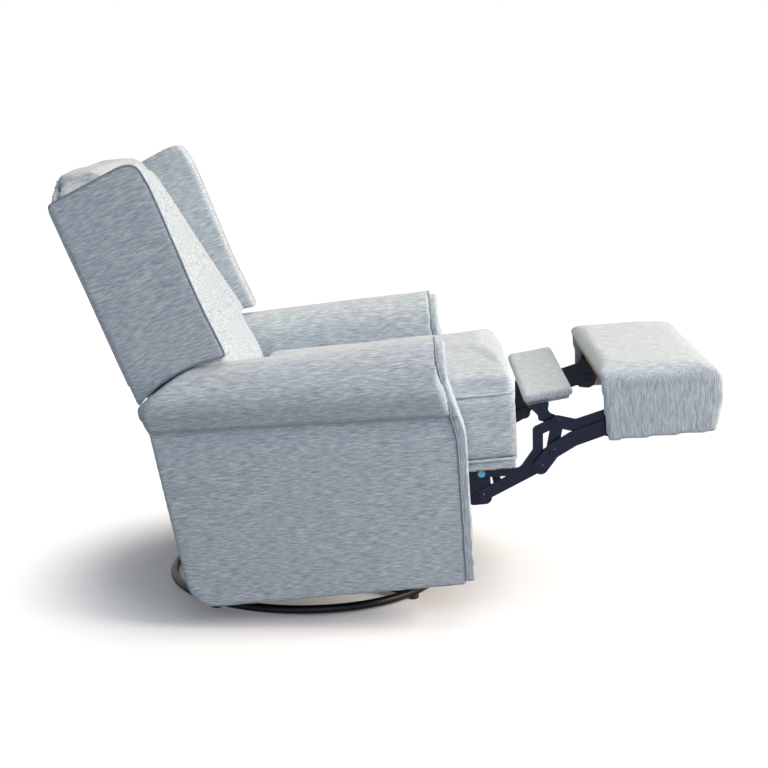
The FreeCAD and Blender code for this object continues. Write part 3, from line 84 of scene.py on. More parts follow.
seat_low, seat_high = level_box("seat_cushion")
print("level seat cushion in mm:", (seat_low / MM).round(), (seat_high / MM).round())

# %% [markdown]
# Most pieces here start from the mesh of their CAD solid, so that they sit in the right place.
# A CAD mesh is loose triangles with sharp edges. Merging it, keeping only its outer skin and
# remeshing it with voxels gives an even net of small squares. Such a net can swell, crease and
# pucker as cloth does. The helpers below do these steps, and are used by every soft piece.

# %% Helpers for meshes
def new_piece(name, mesh):
    piece = bpy.data.objects.new(name, mesh)
    bpy.context.scene.collection.objects.link(piece)
    return piece


def settle(piece):
    """Turn the modifiers of a piece into plain mesh."""
    graph = bpy.context.evaluated_depsgraph_get()
    mesh = bpy.data.meshes.new_from_object(piece.evaluated_get(graph), depsgraph=graph)
    piece.modifiers.clear()
    piece.data = mesh
    return piece


def modify(piece, kind, **settings):
    modifier = piece.modifiers.new(kind.lower(), kind)
    for name, value in settings.items():
        setattr(modifier, name, value)
    return settle(piece)


def islands(bm):
    """Groups of vertices that edges join."""
    found = []
    seen = set()
    for start in bm.verts:
        if start in seen:
            continue
        group = [start]
        seen.add(start)
        for vertex in group:
            for edge in vertex.link_edges:
                other = edge.other_vert(vertex)
                if other not in seen:
                    seen.add(other)
                    group.append(other)
        found.append(group)
    return found


def reach(group):
    points = np.array([vertex.co[:] for vertex in group])
    return float(np.prod(points.max(0) - points.min(0)))


def outer_skin(node, *more):
    """Merged copy of the mesh of a CAD node without the wall of any hollow inside it, or of several nodes merged
    together with any hollow walls kept.
    """
    bm = bmesh.new()
    bm.from_mesh(frame["nodes"][node].data)
    bmesh.ops.remove_doubles(bm, verts=bm.verts, dist=0.01 * MM)
    if more:
        for other in more:
            bm.from_mesh(frame["nodes"][other].data)
        bmesh.ops.remove_doubles(bm, verts=bm.verts, dist=0.01 * MM)
        return bm
    groups = islands(bm)
    widest = max(groups, key=reach)
    spare = [vertex for group in groups if group is not widest for vertex in group]
    bmesh.ops.delete(bm, geom=spare, context="VERTS")
    return bm


def soft_copy(name, node, voxel, relax=6, more=()):
    """Even net of squares in the shape of a CAD solid, with its edges softened."""
    bm = outer_skin(node, *more)
    mesh = bpy.data.meshes.new(name)
    bm.to_mesh(mesh)
    bm.free()
    piece = new_piece(name, mesh)
    modify(piece, "REMESH", mode="VOXEL", voxel_size=voxel)
    modify(piece, "SMOOTH", factor=0.5, iterations=relax)
    return piece


def points_of(piece):
    array = np.empty(len(piece.data.vertices) * 3)
    piece.data.vertices.foreach_get("co", array)
    return array.reshape(-1, 3)


def normals_of(piece):
    array = np.empty(len(piece.data.vertices) * 3)
    piece.data.vertices.foreach_get("normal", array)
    return array.reshape(-1, 3)


def level_of(piece):
    """Points and normals of a piece, on the level chair."""
    return turned(points_of(piece), LEVEL), turned(normals_of(piece), LEVEL.to_3x3().to_4x4())


def put_points(piece, points):
    piece.data.vertices.foreach_set("co", points.astype(np.float32).ravel())
    piece.data.update()


def shaped(piece, push):
    """Move each point along its normal. push gets level points and level normals."""
    points = points_of(piece)
    normals = normals_of(piece)
    flat = LEVEL.to_3x3()
    level_normals = normals @ np.array(flat).T
    amount = push(turned(points, LEVEL), level_normals)
    put_points(piece, points + normals * amount[:, None])
    return piece


def smooth_shaded(piece):
    piece.data.polygons.foreach_set("use_smooth", [True] * len(piece.data.polygons))
    return piece


def bump(distance, width):
    """1 on a line and 0 away from it, as a soft ridge of that half width."""
    return np.exp(-(distance / width) ** 2)


def waves(points, size, seed):
    """Smooth random waves of about that size, from -1 to 1."""
    shift = Vector((seed * 7.1, seed * 3.3, seed * 5.7))
    return np.array([noise.noise(Vector(point) / size + shift) for point in points])


# %% [markdown]
# A cushion looks real when its cloth is tight at the seams and swells between them. Blender's
# cloth solver does that: the net is blown up a little with air pressure and no gravity, while
# the points next to seams and hard boards are pinned. How far a point may move is capped, so
# the cushion stays in the space of its CAD solid.

# %% Cloth that swells between its seams
def swollen(piece, held, pressure, cap, frames=20):
    """Blow up a piece with the cloth solver. held is 0 to 1 for each point, and 1 stays put."""
    start = points_of(piece)
    pins = piece.vertex_groups.new(name="held")
    for index, weight in enumerate(held):
        if weight > 0.01:
            pins.add([index], float(min(weight, 1.0)), "REPLACE")
    cloth = piece.modifiers.new("cloth", "CLOTH")
    cloth.settings.quality = 4
    cloth.settings.mass = 0.3
    cloth.settings.tension_stiffness = 12
    cloth.settings.compression_stiffness = 6
    cloth.settings.shear_stiffness = 4
    cloth.settings.bending_stiffness = 0.4
    cloth.settings.vertex_group_mass = "held"
    cloth.settings.use_pressure = True
    cloth.settings.uniform_pressure_force = pressure
    cloth.settings.effector_weights.gravity = 0
    cloth.collision_settings.use_collision = False
    cloth.point_cache.frame_start = 1
    cloth.point_cache.frame_end = frames
    scene = bpy.context.scene
    for number in range(1, frames + 1):
        scene.frame_set(number)
    graph = bpy.context.evaluated_depsgraph_get()
    blown = piece.evaluated_get(graph).to_mesh()
    end = np.empty(len(blown.vertices) * 3)
    blown.vertices.foreach_get("co", end)
    move = end.reshape(-1, 3) - start
    length = np.linalg.norm(move, axis=1, keepdims=True)
    shorter = np.minimum(1.0, cap / np.maximum(length, 1e-9))
    piece.modifiers.clear()
    piece.vertex_groups.clear()
    put_points(piece, start + move * shorter)
    print(piece.name, "swelled by up to", round(float((length * shorter).max()) / MM, 1), "mm")
    scene.frame_set(1)
    return piece


# %% [markdown]
# ## Colours and nodes
# Colours are written as sRGB hex codes, as a paint card gives them, and one function turns them
# into the linear values that Blender mixes. A second function adds a node to a tree, sets it up
# and joins it to others, so that each material below reads as a short list.

# %% Colour and node helpers
def linear(code):
    """Linear colour of an sRGB hex code."""
    values = [int(code[i:i + 2], 16) / 255 for i in (1, 3, 5)]
    return [v / 12.92 if v <= 0.04045 else ((v + 0.055) / 1.055) ** 2.4 for v in values] + [1.0]


def add(tree, kind, settings=None, links=None, **inputs):
    """Add a node. settings go to the node, inputs to its sockets, links join sockets to it."""
    node = tree.nodes.new(kind)
    for name, value in (settings or {}).items():
        setattr(node, name, value)
    for name, value in inputs.items():
        key = int(name[1:]) if name[0] == "i" and name[1:].isdigit() else name.replace("_", " ")
        node.inputs[key].default_value = value
    for name, source in (links or {}).items():
        tree.links.new(source, node.inputs[name])
    return node


def plain_material(name):
    material = bpy.data.materials.new(name)
    material.use_nodes = True
    tree = material.node_tree
    shader = tree.nodes["Principled BSDF"]
    return material, tree, shader


print("mid grey #808080 is", round(linear("#808080")[0], 3), "in linear light")

# %% [markdown]
# ## The cloth
# The cover is a heathered polyester weave: pale warm-grey and slate-blue yarns, spun unevenly, so
# short streaks of both run along the weft. The streaks are noise stretched along the cloth, and
# the weave is crossed sine ridges. A thread is about 1.2 mm across, which is finer than a pixel
# of the picture, so it is drawn at 2.4 mm. Each material is turned so that its weft runs the way
# it does on the real piece, and faces that look another way get their own direction of weft.
# The yarn is matt, and its fuzz catches a soft light at grazing angles, which is the sheen.

# %% Woven cloth
CLOTH_DARK = "#8793a0"
CLOTH_MID = "#a9b4bc"
CLOTH_PALE = "#cdd2d2"
THREAD = 2.4 * MM
SLUB_LENGTH = 20 * MM
SLUB_WIDTH = 2.2 * MM
FLECK = 3.0 * MM
FLECK_SHARE = 0.2
CLOUD = 90 * MM
CLOUD_SHARE = 0.06


def slub_noise(tree, level, fine_axes):
    """Noise in streaks. fine_axes are 1 across the weft and 0 along it, for X, Y and Z."""
    along = add(tree, "ShaderNodeMapping", links={"Vector": level.outputs["Vector"]})
    along.inputs["Scale"].default_value = [1 / SLUB_WIDTH if fine else 1 / SLUB_LENGTH for fine in fine_axes]
    noise_node = add(tree, "ShaderNodeTexNoise", links={"Vector": along.outputs["Vector"]},
                     Scale=1.0, Detail=1.0, Roughness=0.5)
    return noise_node.outputs["Fac"]


def woven_cloth(name, fine_axes, turn=0.0, facing="Y", fine_there=(0, 0, 1),
                colours=(CLOTH_DARK, CLOTH_MID, CLOTH_PALE)):
    """Heathered cloth. Faces that look along the axis named by facing have their weft the other way."""
    material, tree, shader = plain_material(name)
    place = add(tree, "ShaderNodeTexCoord")
    level = add(tree, "ShaderNodeMapping", links={"Vector": place.outputs["Object"]})
    level.inputs["Rotation"].default_value = (turn, 0, 0)
    normal = add(tree, "ShaderNodeSeparateXYZ", links={0: place.outputs["Normal"]})
    size = add(tree, "ShaderNodeMath", {"operation": "ABSOLUTE"}, links={0: normal.outputs[facing]})
    there = add(tree, "ShaderNodeMapRange", links={"Value": size.outputs[0]}, From_Min=0.6, From_Max=0.8)
    slubs = add(tree, "ShaderNodeMix", {"data_type": "FLOAT"}, links={
        0: there.outputs[0], 2: slub_noise(tree, level, fine_axes), 3: slub_noise(tree, level, fine_there)})
    fleck = add(tree, "ShaderNodeTexNoise", links={"Vector": level.outputs["Vector"]},
                Scale=1 / FLECK, Detail=2.0)
    cloud = add(tree, "ShaderNodeTexNoise", links={"Vector": level.outputs["Vector"]},
                Scale=1 / CLOUD, Detail=2.0)
    both = add(tree, "ShaderNodeMix", {"data_type": "FLOAT"}, i0=FLECK_SHARE,
               links={2: slubs.outputs[0], 3: fleck.outputs["Fac"]})
    blended = add(tree, "ShaderNodeMix", {"data_type": "FLOAT"}, i0=CLOUD_SHARE,
                  links={2: both.outputs[0], 3: cloud.outputs["Fac"]})
    ramp = add(tree, "ShaderNodeValToRGB", links={"Fac": blended.outputs[0]})
    ramp.color_ramp.elements[0].position = 0.28
    ramp.color_ramp.elements[0].color = linear(colours[0])
    ramp.color_ramp.elements[1].position = 0.72
    ramp.color_ramp.elements[1].color = linear(colours[2])
    middle = ramp.color_ramp.elements.new(0.5)
    middle.color = linear(colours[1])
    tree.links.new(ramp.outputs["Color"], shader.inputs["Base Color"])
    phase = add(tree, "ShaderNodeVectorMath", {"operation": "SCALE"}, Scale=2 * math.pi / THREAD,
                links={0: level.outputs["Vector"]})
    ridges = add(tree, "ShaderNodeVectorMath", {"operation": "SINE"}, links={0: phase.outputs[0]})
    turned_ridges = add(tree, "ShaderNodeSeparateXYZ", links={0: ridges.outputs[0]})
    pairs = []
    for first, second in ((0, 1), (1, 2), (2, 0)):
        pairs.append(add(tree, "ShaderNodeMath", {"operation": "MULTIPLY"},
                         links={0: turned_ridges.outputs[first], 1: turned_ridges.outputs[second]}))
    total = add(tree, "ShaderNodeMath", {"operation": "ADD"},
                links={0: pairs[0].outputs[0], 1: pairs[1].outputs[0]})
    weave = add(tree, "ShaderNodeMath", {"operation": "ADD"},
                links={0: total.outputs[0], 1: pairs[2].outputs[0]})
    weave_bump = add(tree, "ShaderNodeBump", Strength=0.25, Distance=0.4 * MM,
                     links={"Height": weave.outputs[0]})
    slub_bump = add(tree, "ShaderNodeBump", Strength=0.35, Distance=0.5 * MM,
                    links={"Height": slubs.outputs[0], "Normal": weave_bump.outputs[0]})
    tree.links.new(slub_bump.outputs[0], shader.inputs["Normal"])
    shader.inputs["Roughness"].default_value = 0.92
    shader.inputs["Specular IOR Level"].default_value = 0.2
    shader.inputs["Sheen Weight"].default_value = 0.25
    shader.inputs["Sheen Roughness"].default_value = 0.5
    return material


back_lean = math.radians(17.3)
cloth_level = woven_cloth("woven_cloth_level", (1, 0, 1), tilt_angle)
cloth_back = woven_cloth("woven_cloth_back", (1, 0, 1), tilt_angle + back_lean)
cloth_footrest = woven_cloth("woven_cloth_footrest", (1, 1, 0), tilt_angle, "Z", (1, 0, 1))
# The piping is of the cover's own cloth, but drawn in darker colours: painted shade for the shadow along the cord.
shaded_piping_cloth = woven_cloth("piping_with_painted_shade", (1, 1, 1), 0.0, "Y", (1, 1, 1), ("#6a7581", "#808b96", "#98a2aa"))
print("cloth materials:", [m.name for m in bpy.data.materials if "cloth" in m.name or "piping" in m.name])

# %% [markdown]
# ## Steel, wood and nylon
# The links and the base are stamped steel with a semi-gloss black enamel. The dip coat leaves soft
# orange peel and slightly duller patches. The bearing plates are zinc-plated, the frames are
# unplaned hardwood, and the front pivots turn in pale blue nylon.

# %% Paint, plating, wood and nylon
def enamel(name, colour, roughness, peel):
    material, tree, shader = plain_material(name)
    place = add(tree, "ShaderNodeTexCoord")
    patches = add(tree, "ShaderNodeTexNoise", links={"Vector": place.outputs["Object"]},
                  Scale=1 / (40 * MM), Detail=4.0)
    span = add(tree, "ShaderNodeMapRange", links={"Value": patches.outputs["Fac"]},
               To_Min=roughness - 0.08, To_Max=roughness + 0.12)
    tree.links.new(span.outputs[0], shader.inputs["Roughness"])
    skin = add(tree, "ShaderNodeTexNoise", links={"Vector": place.outputs["Object"]},
               Scale=1 / (2.5 * MM), Detail=1.0)
    raised = add(tree, "ShaderNodeBump", Strength=peel, Distance=0.3 * MM,
                 links={"Height": skin.outputs["Fac"]})
    tree.links.new(raised.outputs[0], shader.inputs["Normal"])
    shader.inputs["Base Color"].default_value = linear(colour)
    shader.inputs["Specular IOR Level"].default_value = 0.22
    shader.inputs["Coat Weight"].default_value = 0.06
    shader.inputs["Coat Roughness"].default_value = 0.25
    return material


def plated(name, colour, roughness):
    material, tree, shader = plain_material(name)
    place = add(tree, "ShaderNodeTexCoord")
    turning = add(tree, "ShaderNodeTexNoise", links={"Vector": place.outputs["Object"]},
                  Scale=1 / (6 * MM), Detail=6.0)
    span = add(tree, "ShaderNodeMapRange", links={"Value": turning.outputs["Fac"]},
               To_Min=roughness - 0.1, To_Max=roughness + 0.1)
    tree.links.new(span.outputs[0], shader.inputs["Roughness"])
    shader.inputs["Base Color"].default_value = linear(colour)
    shader.inputs["Metallic"].default_value = 1.0
    return material


def sawn_wood(name, pale, brown):
    """Sawn boards, with grain lines about 5 mm apart along the board."""
    material, tree, shader = plain_material(name)
    place = add(tree, "ShaderNodeTexCoord")
    grain = add(tree, "ShaderNodeTexWave", {"bands_direction": "Z"},
                links={"Vector": place.outputs["Object"]}, Scale=1 / (16 * MM), Distortion=6.0, Detail=3.0)
    ramp = add(tree, "ShaderNodeValToRGB", links={"Fac": grain.outputs["Fac"]})
    ramp.color_ramp.elements[0].color = linear(brown)
    ramp.color_ramp.elements[1].color = linear(pale)
    tree.links.new(ramp.outputs["Color"], shader.inputs["Base Color"])
    raised = add(tree, "ShaderNodeBump", Strength=0.2, Distance=0.3 * MM,
                 links={"Height": grain.outputs["Fac"]})
    tree.links.new(raised.outputs[0], shader.inputs["Normal"])
    shader.inputs["Roughness"].default_value = 0.75
    return material


def moulded(name, colour, roughness):
    material, tree, shader = plain_material(name)
    place = add(tree, "ShaderNodeTexCoord")
    grit = add(tree, "ShaderNodeTexNoise", links={"Vector": place.outputs["Object"]},
               Scale=1 / (1.2 * MM), Detail=1.0)
    raised = add(tree, "ShaderNodeBump", Strength=0.15, Distance=0.2 * MM,
                 links={"Height": grit.outputs["Fac"]})
    tree.links.new(raised.outputs[0], shader.inputs["Normal"])
    shader.inputs["Base Color"].default_value = linear(colour)
    shader.inputs["Roughness"].default_value = roughness
    return material


finishes = {
    "base_steel": enamel("satin_black_enamel", "#060607", 0.40, 0.2),
    "link_steel": enamel("black_link_enamel", "#0f1a31", 0.32, 0.25),
    "bearing_steel": plated("zinc_plated_steel", "#a7abad", 0.38),
    "spring_steel": plated("oiled_spring_wire", "#5d5f61", 0.35),
    "foot_plastic": moulded("black_polythene", "#17181a", 0.6),
    "bush_nylon": moulded("pale_blue_nylon", "#55b4e2", 0.42),
    "upholstery": cloth_level,
    "webbing": woven_cloth("black_webbing", (1, 0, 1), colours=("#17181a", "#222427", "#2e3135")),
    "hardwood": sawn_wood("sawn_hardwood", "#c7a377", "#93683d"),
}
for entry in frame["record"]["subparts"]:
    node = frame["nodes"][entry["node"]]
    for index in range(max(1, len(node.material_slots))):
        if not node.material_slots:
            node.data.materials.append(finishes[entry["material_slot"]])
        node.material_slots[index].material = finishes[entry["material_slot"]]


# %% [markdown]
# ## Finding edges and seams
# Piping follows an edge of a piece and a welt follows the seam round a cushion. Both paths are
# found on the meshes themselves, so they lie where the edge is. An edge loop is the rim of the
# faces that look one way on the CAD solid. A seam is the line where a flat plane cuts the piece.

# %% Paths on a piece
def chains(edges):
    """Runs of points along edges that join end to end."""
    around = {}
    for edge in edges:
        for vertex in edge.verts:
            around.setdefault(vertex, []).append(edge)
    left = set(edges)
    runs = []
    while left:
        starts = [v for e in left for v in e.verts if sum(x in left for x in around[v]) == 1]
        edge = next(iter(sorted(left, key=lambda e: e.index)))
        here = starts[0] if starts else edge.verts[0]
        run = [here]
        while True:
            options = [e for e in around[here] if e in left]
            if not options:
                break
            left.discard(options[0])
            here = options[0].other_vert(here)
            run.append(here)
        runs.append([vertex.co.copy() for vertex in run])
    return runs


def length_of(run):
    return sum((b - a).length for a, b in zip(run, run[1:]))


def rim(node, looks_that_way):
    """Rim of the faces of a CAD node whose level normal passes a test."""
    bm = outer_skin(node)
    bm.normal_update()
    turn = LEVEL.to_3x3()
    chosen = {face for face in bm.faces if looks_that_way(turn @ face.normal)}
    bm.edges.index_update()
    edges = [e for e in bm.edges if sum(face in chosen for face in e.link_faces) == 1]
    run = max(chains(edges), key=length_of)
    bm.free()
    return run


def seam(piece, level_point, level_normal):
    """Longest line where a plane of the level chair cuts a piece."""
    bm = bmesh.new()
    bm.from_mesh(piece.data)
    cut = bmesh.ops.bisect_plane(bm, geom=bm.verts[:] + bm.edges[:] + bm.faces[:],
                                 plane_co=LEAN @ Vector(level_point),
                                 plane_no=LEAN.to_3x3() @ Vector(level_normal))
    bm.edges.index_update()
    edges = [item for item in cut["geom_cut"] if isinstance(item, bmesh.types.BMEdge)]
    run = max(chains(edges), key=length_of)
    bm.free()
    return run


def even(run, step):
    """Points along a run, a step apart."""
    points = np.array([p[:] for p in run])
    keep = np.concatenate([[True], np.linalg.norm(np.diff(points, axis=0), axis=1) > 1e-7])
    points = points[keep]
    far = np.concatenate([[0], np.cumsum(np.linalg.norm(np.diff(points, axis=0), axis=1))])
    count = max(3, int(far[-1] / step) + 1)
    at = np.linspace(0, far[-1], count)
    return np.stack([np.interp(at, far, points[:, axis]) for axis in range(3)], axis=1)


def relaxed(points, rounds, closed=False):
    for _ in range(rounds):
        before = np.roll(points, 1, axis=0)
        after = np.roll(points, -1, axis=0)
        moved = points * 0.5 + (before + after) * 0.25
        if not closed:
            moved[0] = points[0]
            moved[-1] = points[-1]
        points = moved
    return points


def open_run(points, keep):
    """The part of a closed row of points that passes a test, as one open run."""
    first = next(i for i in range(len(keep)) if keep[i] and not keep[i - 1])
    order = np.roll(np.arange(len(points)), -first)
    return points[order][keep[order]]


def laid_on(points, piece, proud):
    """Points moved to the nearest place on a piece, and a little out of it."""
    graph = bpy.context.evaluated_depsgraph_get()
    tree = BVHTree.FromObject(piece, graph)
    laid = []
    for point in points:
        spot, normal, _, _ = tree.find_nearest(Vector(point))
        laid.append(spot + normal * proud)
    return np.array([p[:] for p in laid])


# %% [markdown]
# ## Piping
# Piping is a strip of cloth sewn round a cord and caught in the seam. It is the same thing along
# every path, so Geometry Nodes make it: the path becomes an even curve, a round section is swept
# along it, and its thickness wavers a little, as a hand-sewn cord does.

# %% Geometry Nodes tree for piping
def piping_tree():
    tree = bpy.data.node_groups.new("piping_along_a_path", "GeometryNodeTree")
    face = tree.interface
    face.new_socket(name="Geometry", in_out="INPUT", socket_type="NodeSocketGeometry")
    sizes = {"Cord radius": 3 * MM, "Step": 4 * MM, "Waver": 0.12, "Waver length": 30 * MM}
    for label, value in sizes.items():
        face.new_socket(name=label, in_out="INPUT", socket_type="NodeSocketFloat").default_value = value
    face.new_socket(name="Cloth", in_out="INPUT", socket_type="NodeSocketMaterial")
    face.new_socket(name="Geometry", in_out="OUTPUT", socket_type="NodeSocketGeometry")
    start = add(tree, "NodeGroupInput")
    curve = add(tree, "GeometryNodeMeshToCurve", links={0: start.outputs["Geometry"]})
    spaced = add(tree, "GeometryNodeResampleCurve", {"mode": "LENGTH"},
                 links={"Curve": curve.outputs[0], "Length": start.outputs["Step"]})
    place = add(tree, "GeometryNodeInputPosition")
    per_metre = add(tree, "ShaderNodeMath", {"operation": "DIVIDE"}, i0=1.0,
                    links={1: start.outputs["Waver length"]})
    wander = add(tree, "ShaderNodeTexNoise", {"noise_dimensions": "3D"},
                 links={"Vector": place.outputs[0], "Scale": per_metre.outputs[0]}, Detail=1.0)
    centred = add(tree, "ShaderNodeMath", {"operation": "SUBTRACT"}, i1=0.5, links={0: wander.outputs["Fac"]})
    share = add(tree, "ShaderNodeMath", {"operation": "MULTIPLY_ADD"}, i2=1.0,
                links={0: centred.outputs[0], 1: start.outputs["Waver"]})
    thick = add(tree, "GeometryNodeSetCurveRadius",
                links={"Curve": spaced.outputs[0], "Radius": share.outputs[0]})
    ring = add(tree, "GeometryNodeCurvePrimitiveCircle", {"mode": "RADIUS"}, Resolution=10,
               links={"Radius": start.outputs["Cord radius"]})
    swept = add(tree, "GeometryNodeCurveToMesh",
                links={"Curve": thick.outputs[0], "Profile Curve": ring.outputs[0]})
    swept.inputs["Fill Caps"].default_value = True
    shade = add(tree, "GeometryNodeSetShadeSmooth", links={0: swept.outputs[0]})
    real = add(tree, "GeometryNodeRealizeInstances", links={0: shade.outputs[0]})
    painted = add(tree, "GeometryNodeSetMaterial",
                  links={"Geometry": real.outputs[0], "Material": start.outputs["Cloth"]})
    add(tree, "NodeGroupOutput", links={0: painted.outputs[0]})
    return tree


sewn_piping = piping_tree()
piping_inputs = {item.name: item.identifier
                 for item in sewn_piping.interface.items_tree if item.in_out == "INPUT"}
print("inputs of the piping tree:", list(piping_inputs))


def piping(name, points, radius, material, closed=False):
    """Piping along a row of points, as a plain mesh."""
    mesh = bpy.data.meshes.new(name)
    count = len(points)
    edges = [(i, i + 1) for i in range(count - 1)]
    if closed:
        edges.append((count - 1, 0))
    mesh.from_pydata([tuple(p) for p in points], edges, [])
    piece = new_piece(name, mesh)
    modifier = piece.modifiers.new("piping", "NODES")
    modifier.node_group = sewn_piping
    modifier[piping_inputs["Cord radius"]] = radius
    modifier[piping_inputs["Cloth"]] = material
    settle(piece)
    print(name, "is", round(length_of([Vector(p) for p in points]) / MM), "mm long")
    return piece


def finished(piece, body, material=None, stands_for=()):
    """Last steps of every piece: finish, shading, body and the CAD nodes it stands for."""
    if material is not None:
        piece.data.materials.clear()
        piece.data.materials.append(material)
    smooth_shaded(piece)
    if stands_for:
        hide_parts(*stands_for)
    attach(piece, body)
    return piece


# %% [markdown]
# ## Camera
# The photograph was taken from the chair's right side, a little above the seat. A long lens keeps
# the arms and wings from spreading. The camera looks along +X, 11.5 degrees down and turned
# slightly towards the back.

# %% Camera
camera_at = Vector((-3.3932, -0.1951, 1.1116))
down = math.radians(11.45)
yaw = math.atan(12 / 1600)
forward = Matrix.Rotation(yaw, 3, "Z") @ Vector((math.cos(down), 0, -math.sin(down)))
camera_data = bpy.data.cameras.new("long_lens")
camera_data.lens = 75
camera_data.sensor_width = 36
camera = bpy.data.objects.new("camera", camera_data)
camera.location = camera_at
camera.rotation_euler = forward.to_track_quat("-Z", "Y").to_euler()
bpy.context.scene.collection.objects.link(camera)
bpy.context.scene.camera = camera
print("camera looks along", [round(v, 3) for v in forward])

# %% [markdown]
# ## Floor and light
# The picture has a white ground with one soft shadow. The floor and the world are white to the
# camera and to reflections, and near the chair the floor is plain paper that takes the shadow.
# To light that bounces off it the floor is grey, so that the undersides stay dark. A large, warm
# window lamp stands in front, a soft one hangs above, and a weaker, cooler fill lights the side.

# %% Floor, lamps and world
SHADOW_INNER = 0.36
SHADOW_OUTER = 0.70
NEAR_GLOW = 0.10


def white_to(tree):
    """1 for the rays that should meet white: from the camera, from a shiny face or through a clear one."""
    ray = add(tree, "ShaderNodeLightPath")
    two = add(tree, "ShaderNodeMath", {"operation": "MAXIMUM"},
              links={0: ray.outputs["Is Camera Ray"], 1: ray.outputs["Is Glossy Ray"]})
    three = add(tree, "ShaderNodeMath", {"operation": "MAXIMUM"},
                links={0: two.outputs[0], 1: ray.outputs["Is Transmission Ray"]})
    return three.outputs[0]


def studio_floor():
    bm = bmesh.new()
    bmesh.ops.create_grid(bm, x_segments=8, y_segments=8, size=9.0)
    mesh = bpy.data.meshes.new("studio_floor")
    bm.to_mesh(mesh)
    bm.free()
    floor = new_piece("studio_floor", mesh)
    material = bpy.data.materials.new("white_sweep")
    material.use_nodes = True
    tree = material.node_tree
    tree.nodes.clear()
    shown = white_to(tree)
    white = add(tree, "ShaderNodeEmission", Color=(1, 1, 1, 1), Strength=1.05)
    shade = add(tree, "ShaderNodeMix", {"data_type": "RGBA"}, i6=linear("#a4a4a6"), i7=linear("#fbfbfb"),
                links={0: shown})
    paper = add(tree, "ShaderNodeBsdfDiffuse", links={"Color": shade.outputs[2]})
    place = add(tree, "ShaderNodeTexCoord")
    away = add(tree, "ShaderNodeVectorMath", {"operation": "LENGTH"}, links={0: place.outputs["Object"]})
    share = add(tree, "ShaderNodeMapRange", {"interpolation_type": "SMOOTHSTEP"},
                links={"Value": away.outputs["Value"]},
                From_Min=SHADOW_INNER, From_Max=SHADOW_OUTER, To_Min=NEAR_GLOW, To_Max=1.0)
    lit = add(tree, "ShaderNodeMath", {"operation": "MULTIPLY"}, links={0: shown, 1: share.outputs[0]})
    blend = add(tree, "ShaderNodeMixShader",
                links={0: lit.outputs[0], 1: paper.outputs[0], 2: white.outputs[0]})
    add(tree, "ShaderNodeOutputMaterial", links={0: blend.outputs[0]})
    mesh.materials.append(material)
    return floor


def lamp(name, size, power, place, target, colour):
    light = bpy.data.lights.new(name, "AREA")
    light.shape = "RECTANGLE"
    light.size = size[0]
    light.size_y = size[1]
    light.energy = power
    light.color = linear(colour)[:3]
    holder = bpy.data.objects.new(name, light)
    holder.location = place
    holder.rotation_euler = (Vector(target) - Vector(place)).to_track_quat("-Z", "Y").to_euler()
    bpy.context.scene.collection.objects.link(holder)
    return holder


studio_floor()
lamp("soft_ceiling", (2.4, 2.4), 56, (0.3, -0.4, 3.2), (0, 0, 0.4), "#fff0dc")
lamp("front_window", (2.8, 2.2), 300, (-0.9, -4.2, 2.4), (0, 0.1, 0.6), "#fff2e4")
lamp("side_fill", (2.4, 1.6), 50, (-3.4, -0.9, 2.3), (0, 0, 0.5), "#dfeaff")

world = bpy.data.worlds.new("white_room")
bpy.context.scene.world = world
world.use_nodes = True
sky = world.node_tree
sky.nodes.clear()
room = add(sky, "ShaderNodeBackground", Color=linear("#e6edf6"), Strength=0.20)
backdrop = add(sky, "ShaderNodeBackground", Color=(1, 1, 1, 1), Strength=1.0)
choice = add(sky, "ShaderNodeMixShader", links={0: white_to(sky), 1: room.outputs[0], 2: backdrop.outputs[0]})
add(sky, "ShaderNodeOutputWorld", links={0: choice.outputs[0]})
bpy.context.scene.view_settings.view_transform = "Standard"
print("lamps:", [light.name for light in bpy.data.lights])

# %% [markdown]
# ## Arms
# Each arm is a boxed side panel with a fat padded roll along the top. The roll's cloth is pulled
# round the padding and stapled in a crease under its overhang, so short gathers run away from that
# crease. The gathers are narrow waves along the arm that fade with the distance from the crease.
# They bunch up in two places, and one short tuck sits high at the rear of the roll.

# %% Arm covers
arm_seam_front = (-0.330, 0.406)
arm_seam_rear = (0.255, 0.427)
PUCKERS = ((-0.235, 0.030), (-0.012, 0.035))
TUCK = (0.197, 0.507)
WIDE_GATHER = 0.021
FINE_GATHER = 0.009
ROLL_FULLNESS = 15.0
FULLEST_ABOVE_SEAM = 0.056
CREASE_DEPTH = 10.0


def arm_seam_height(y):
    share = (y - arm_seam_front[0]) / (arm_seam_rear[0] - arm_seam_front[0])
    return arm_seam_front[1] + share * (arm_seam_rear[1] - arm_seam_front[1])


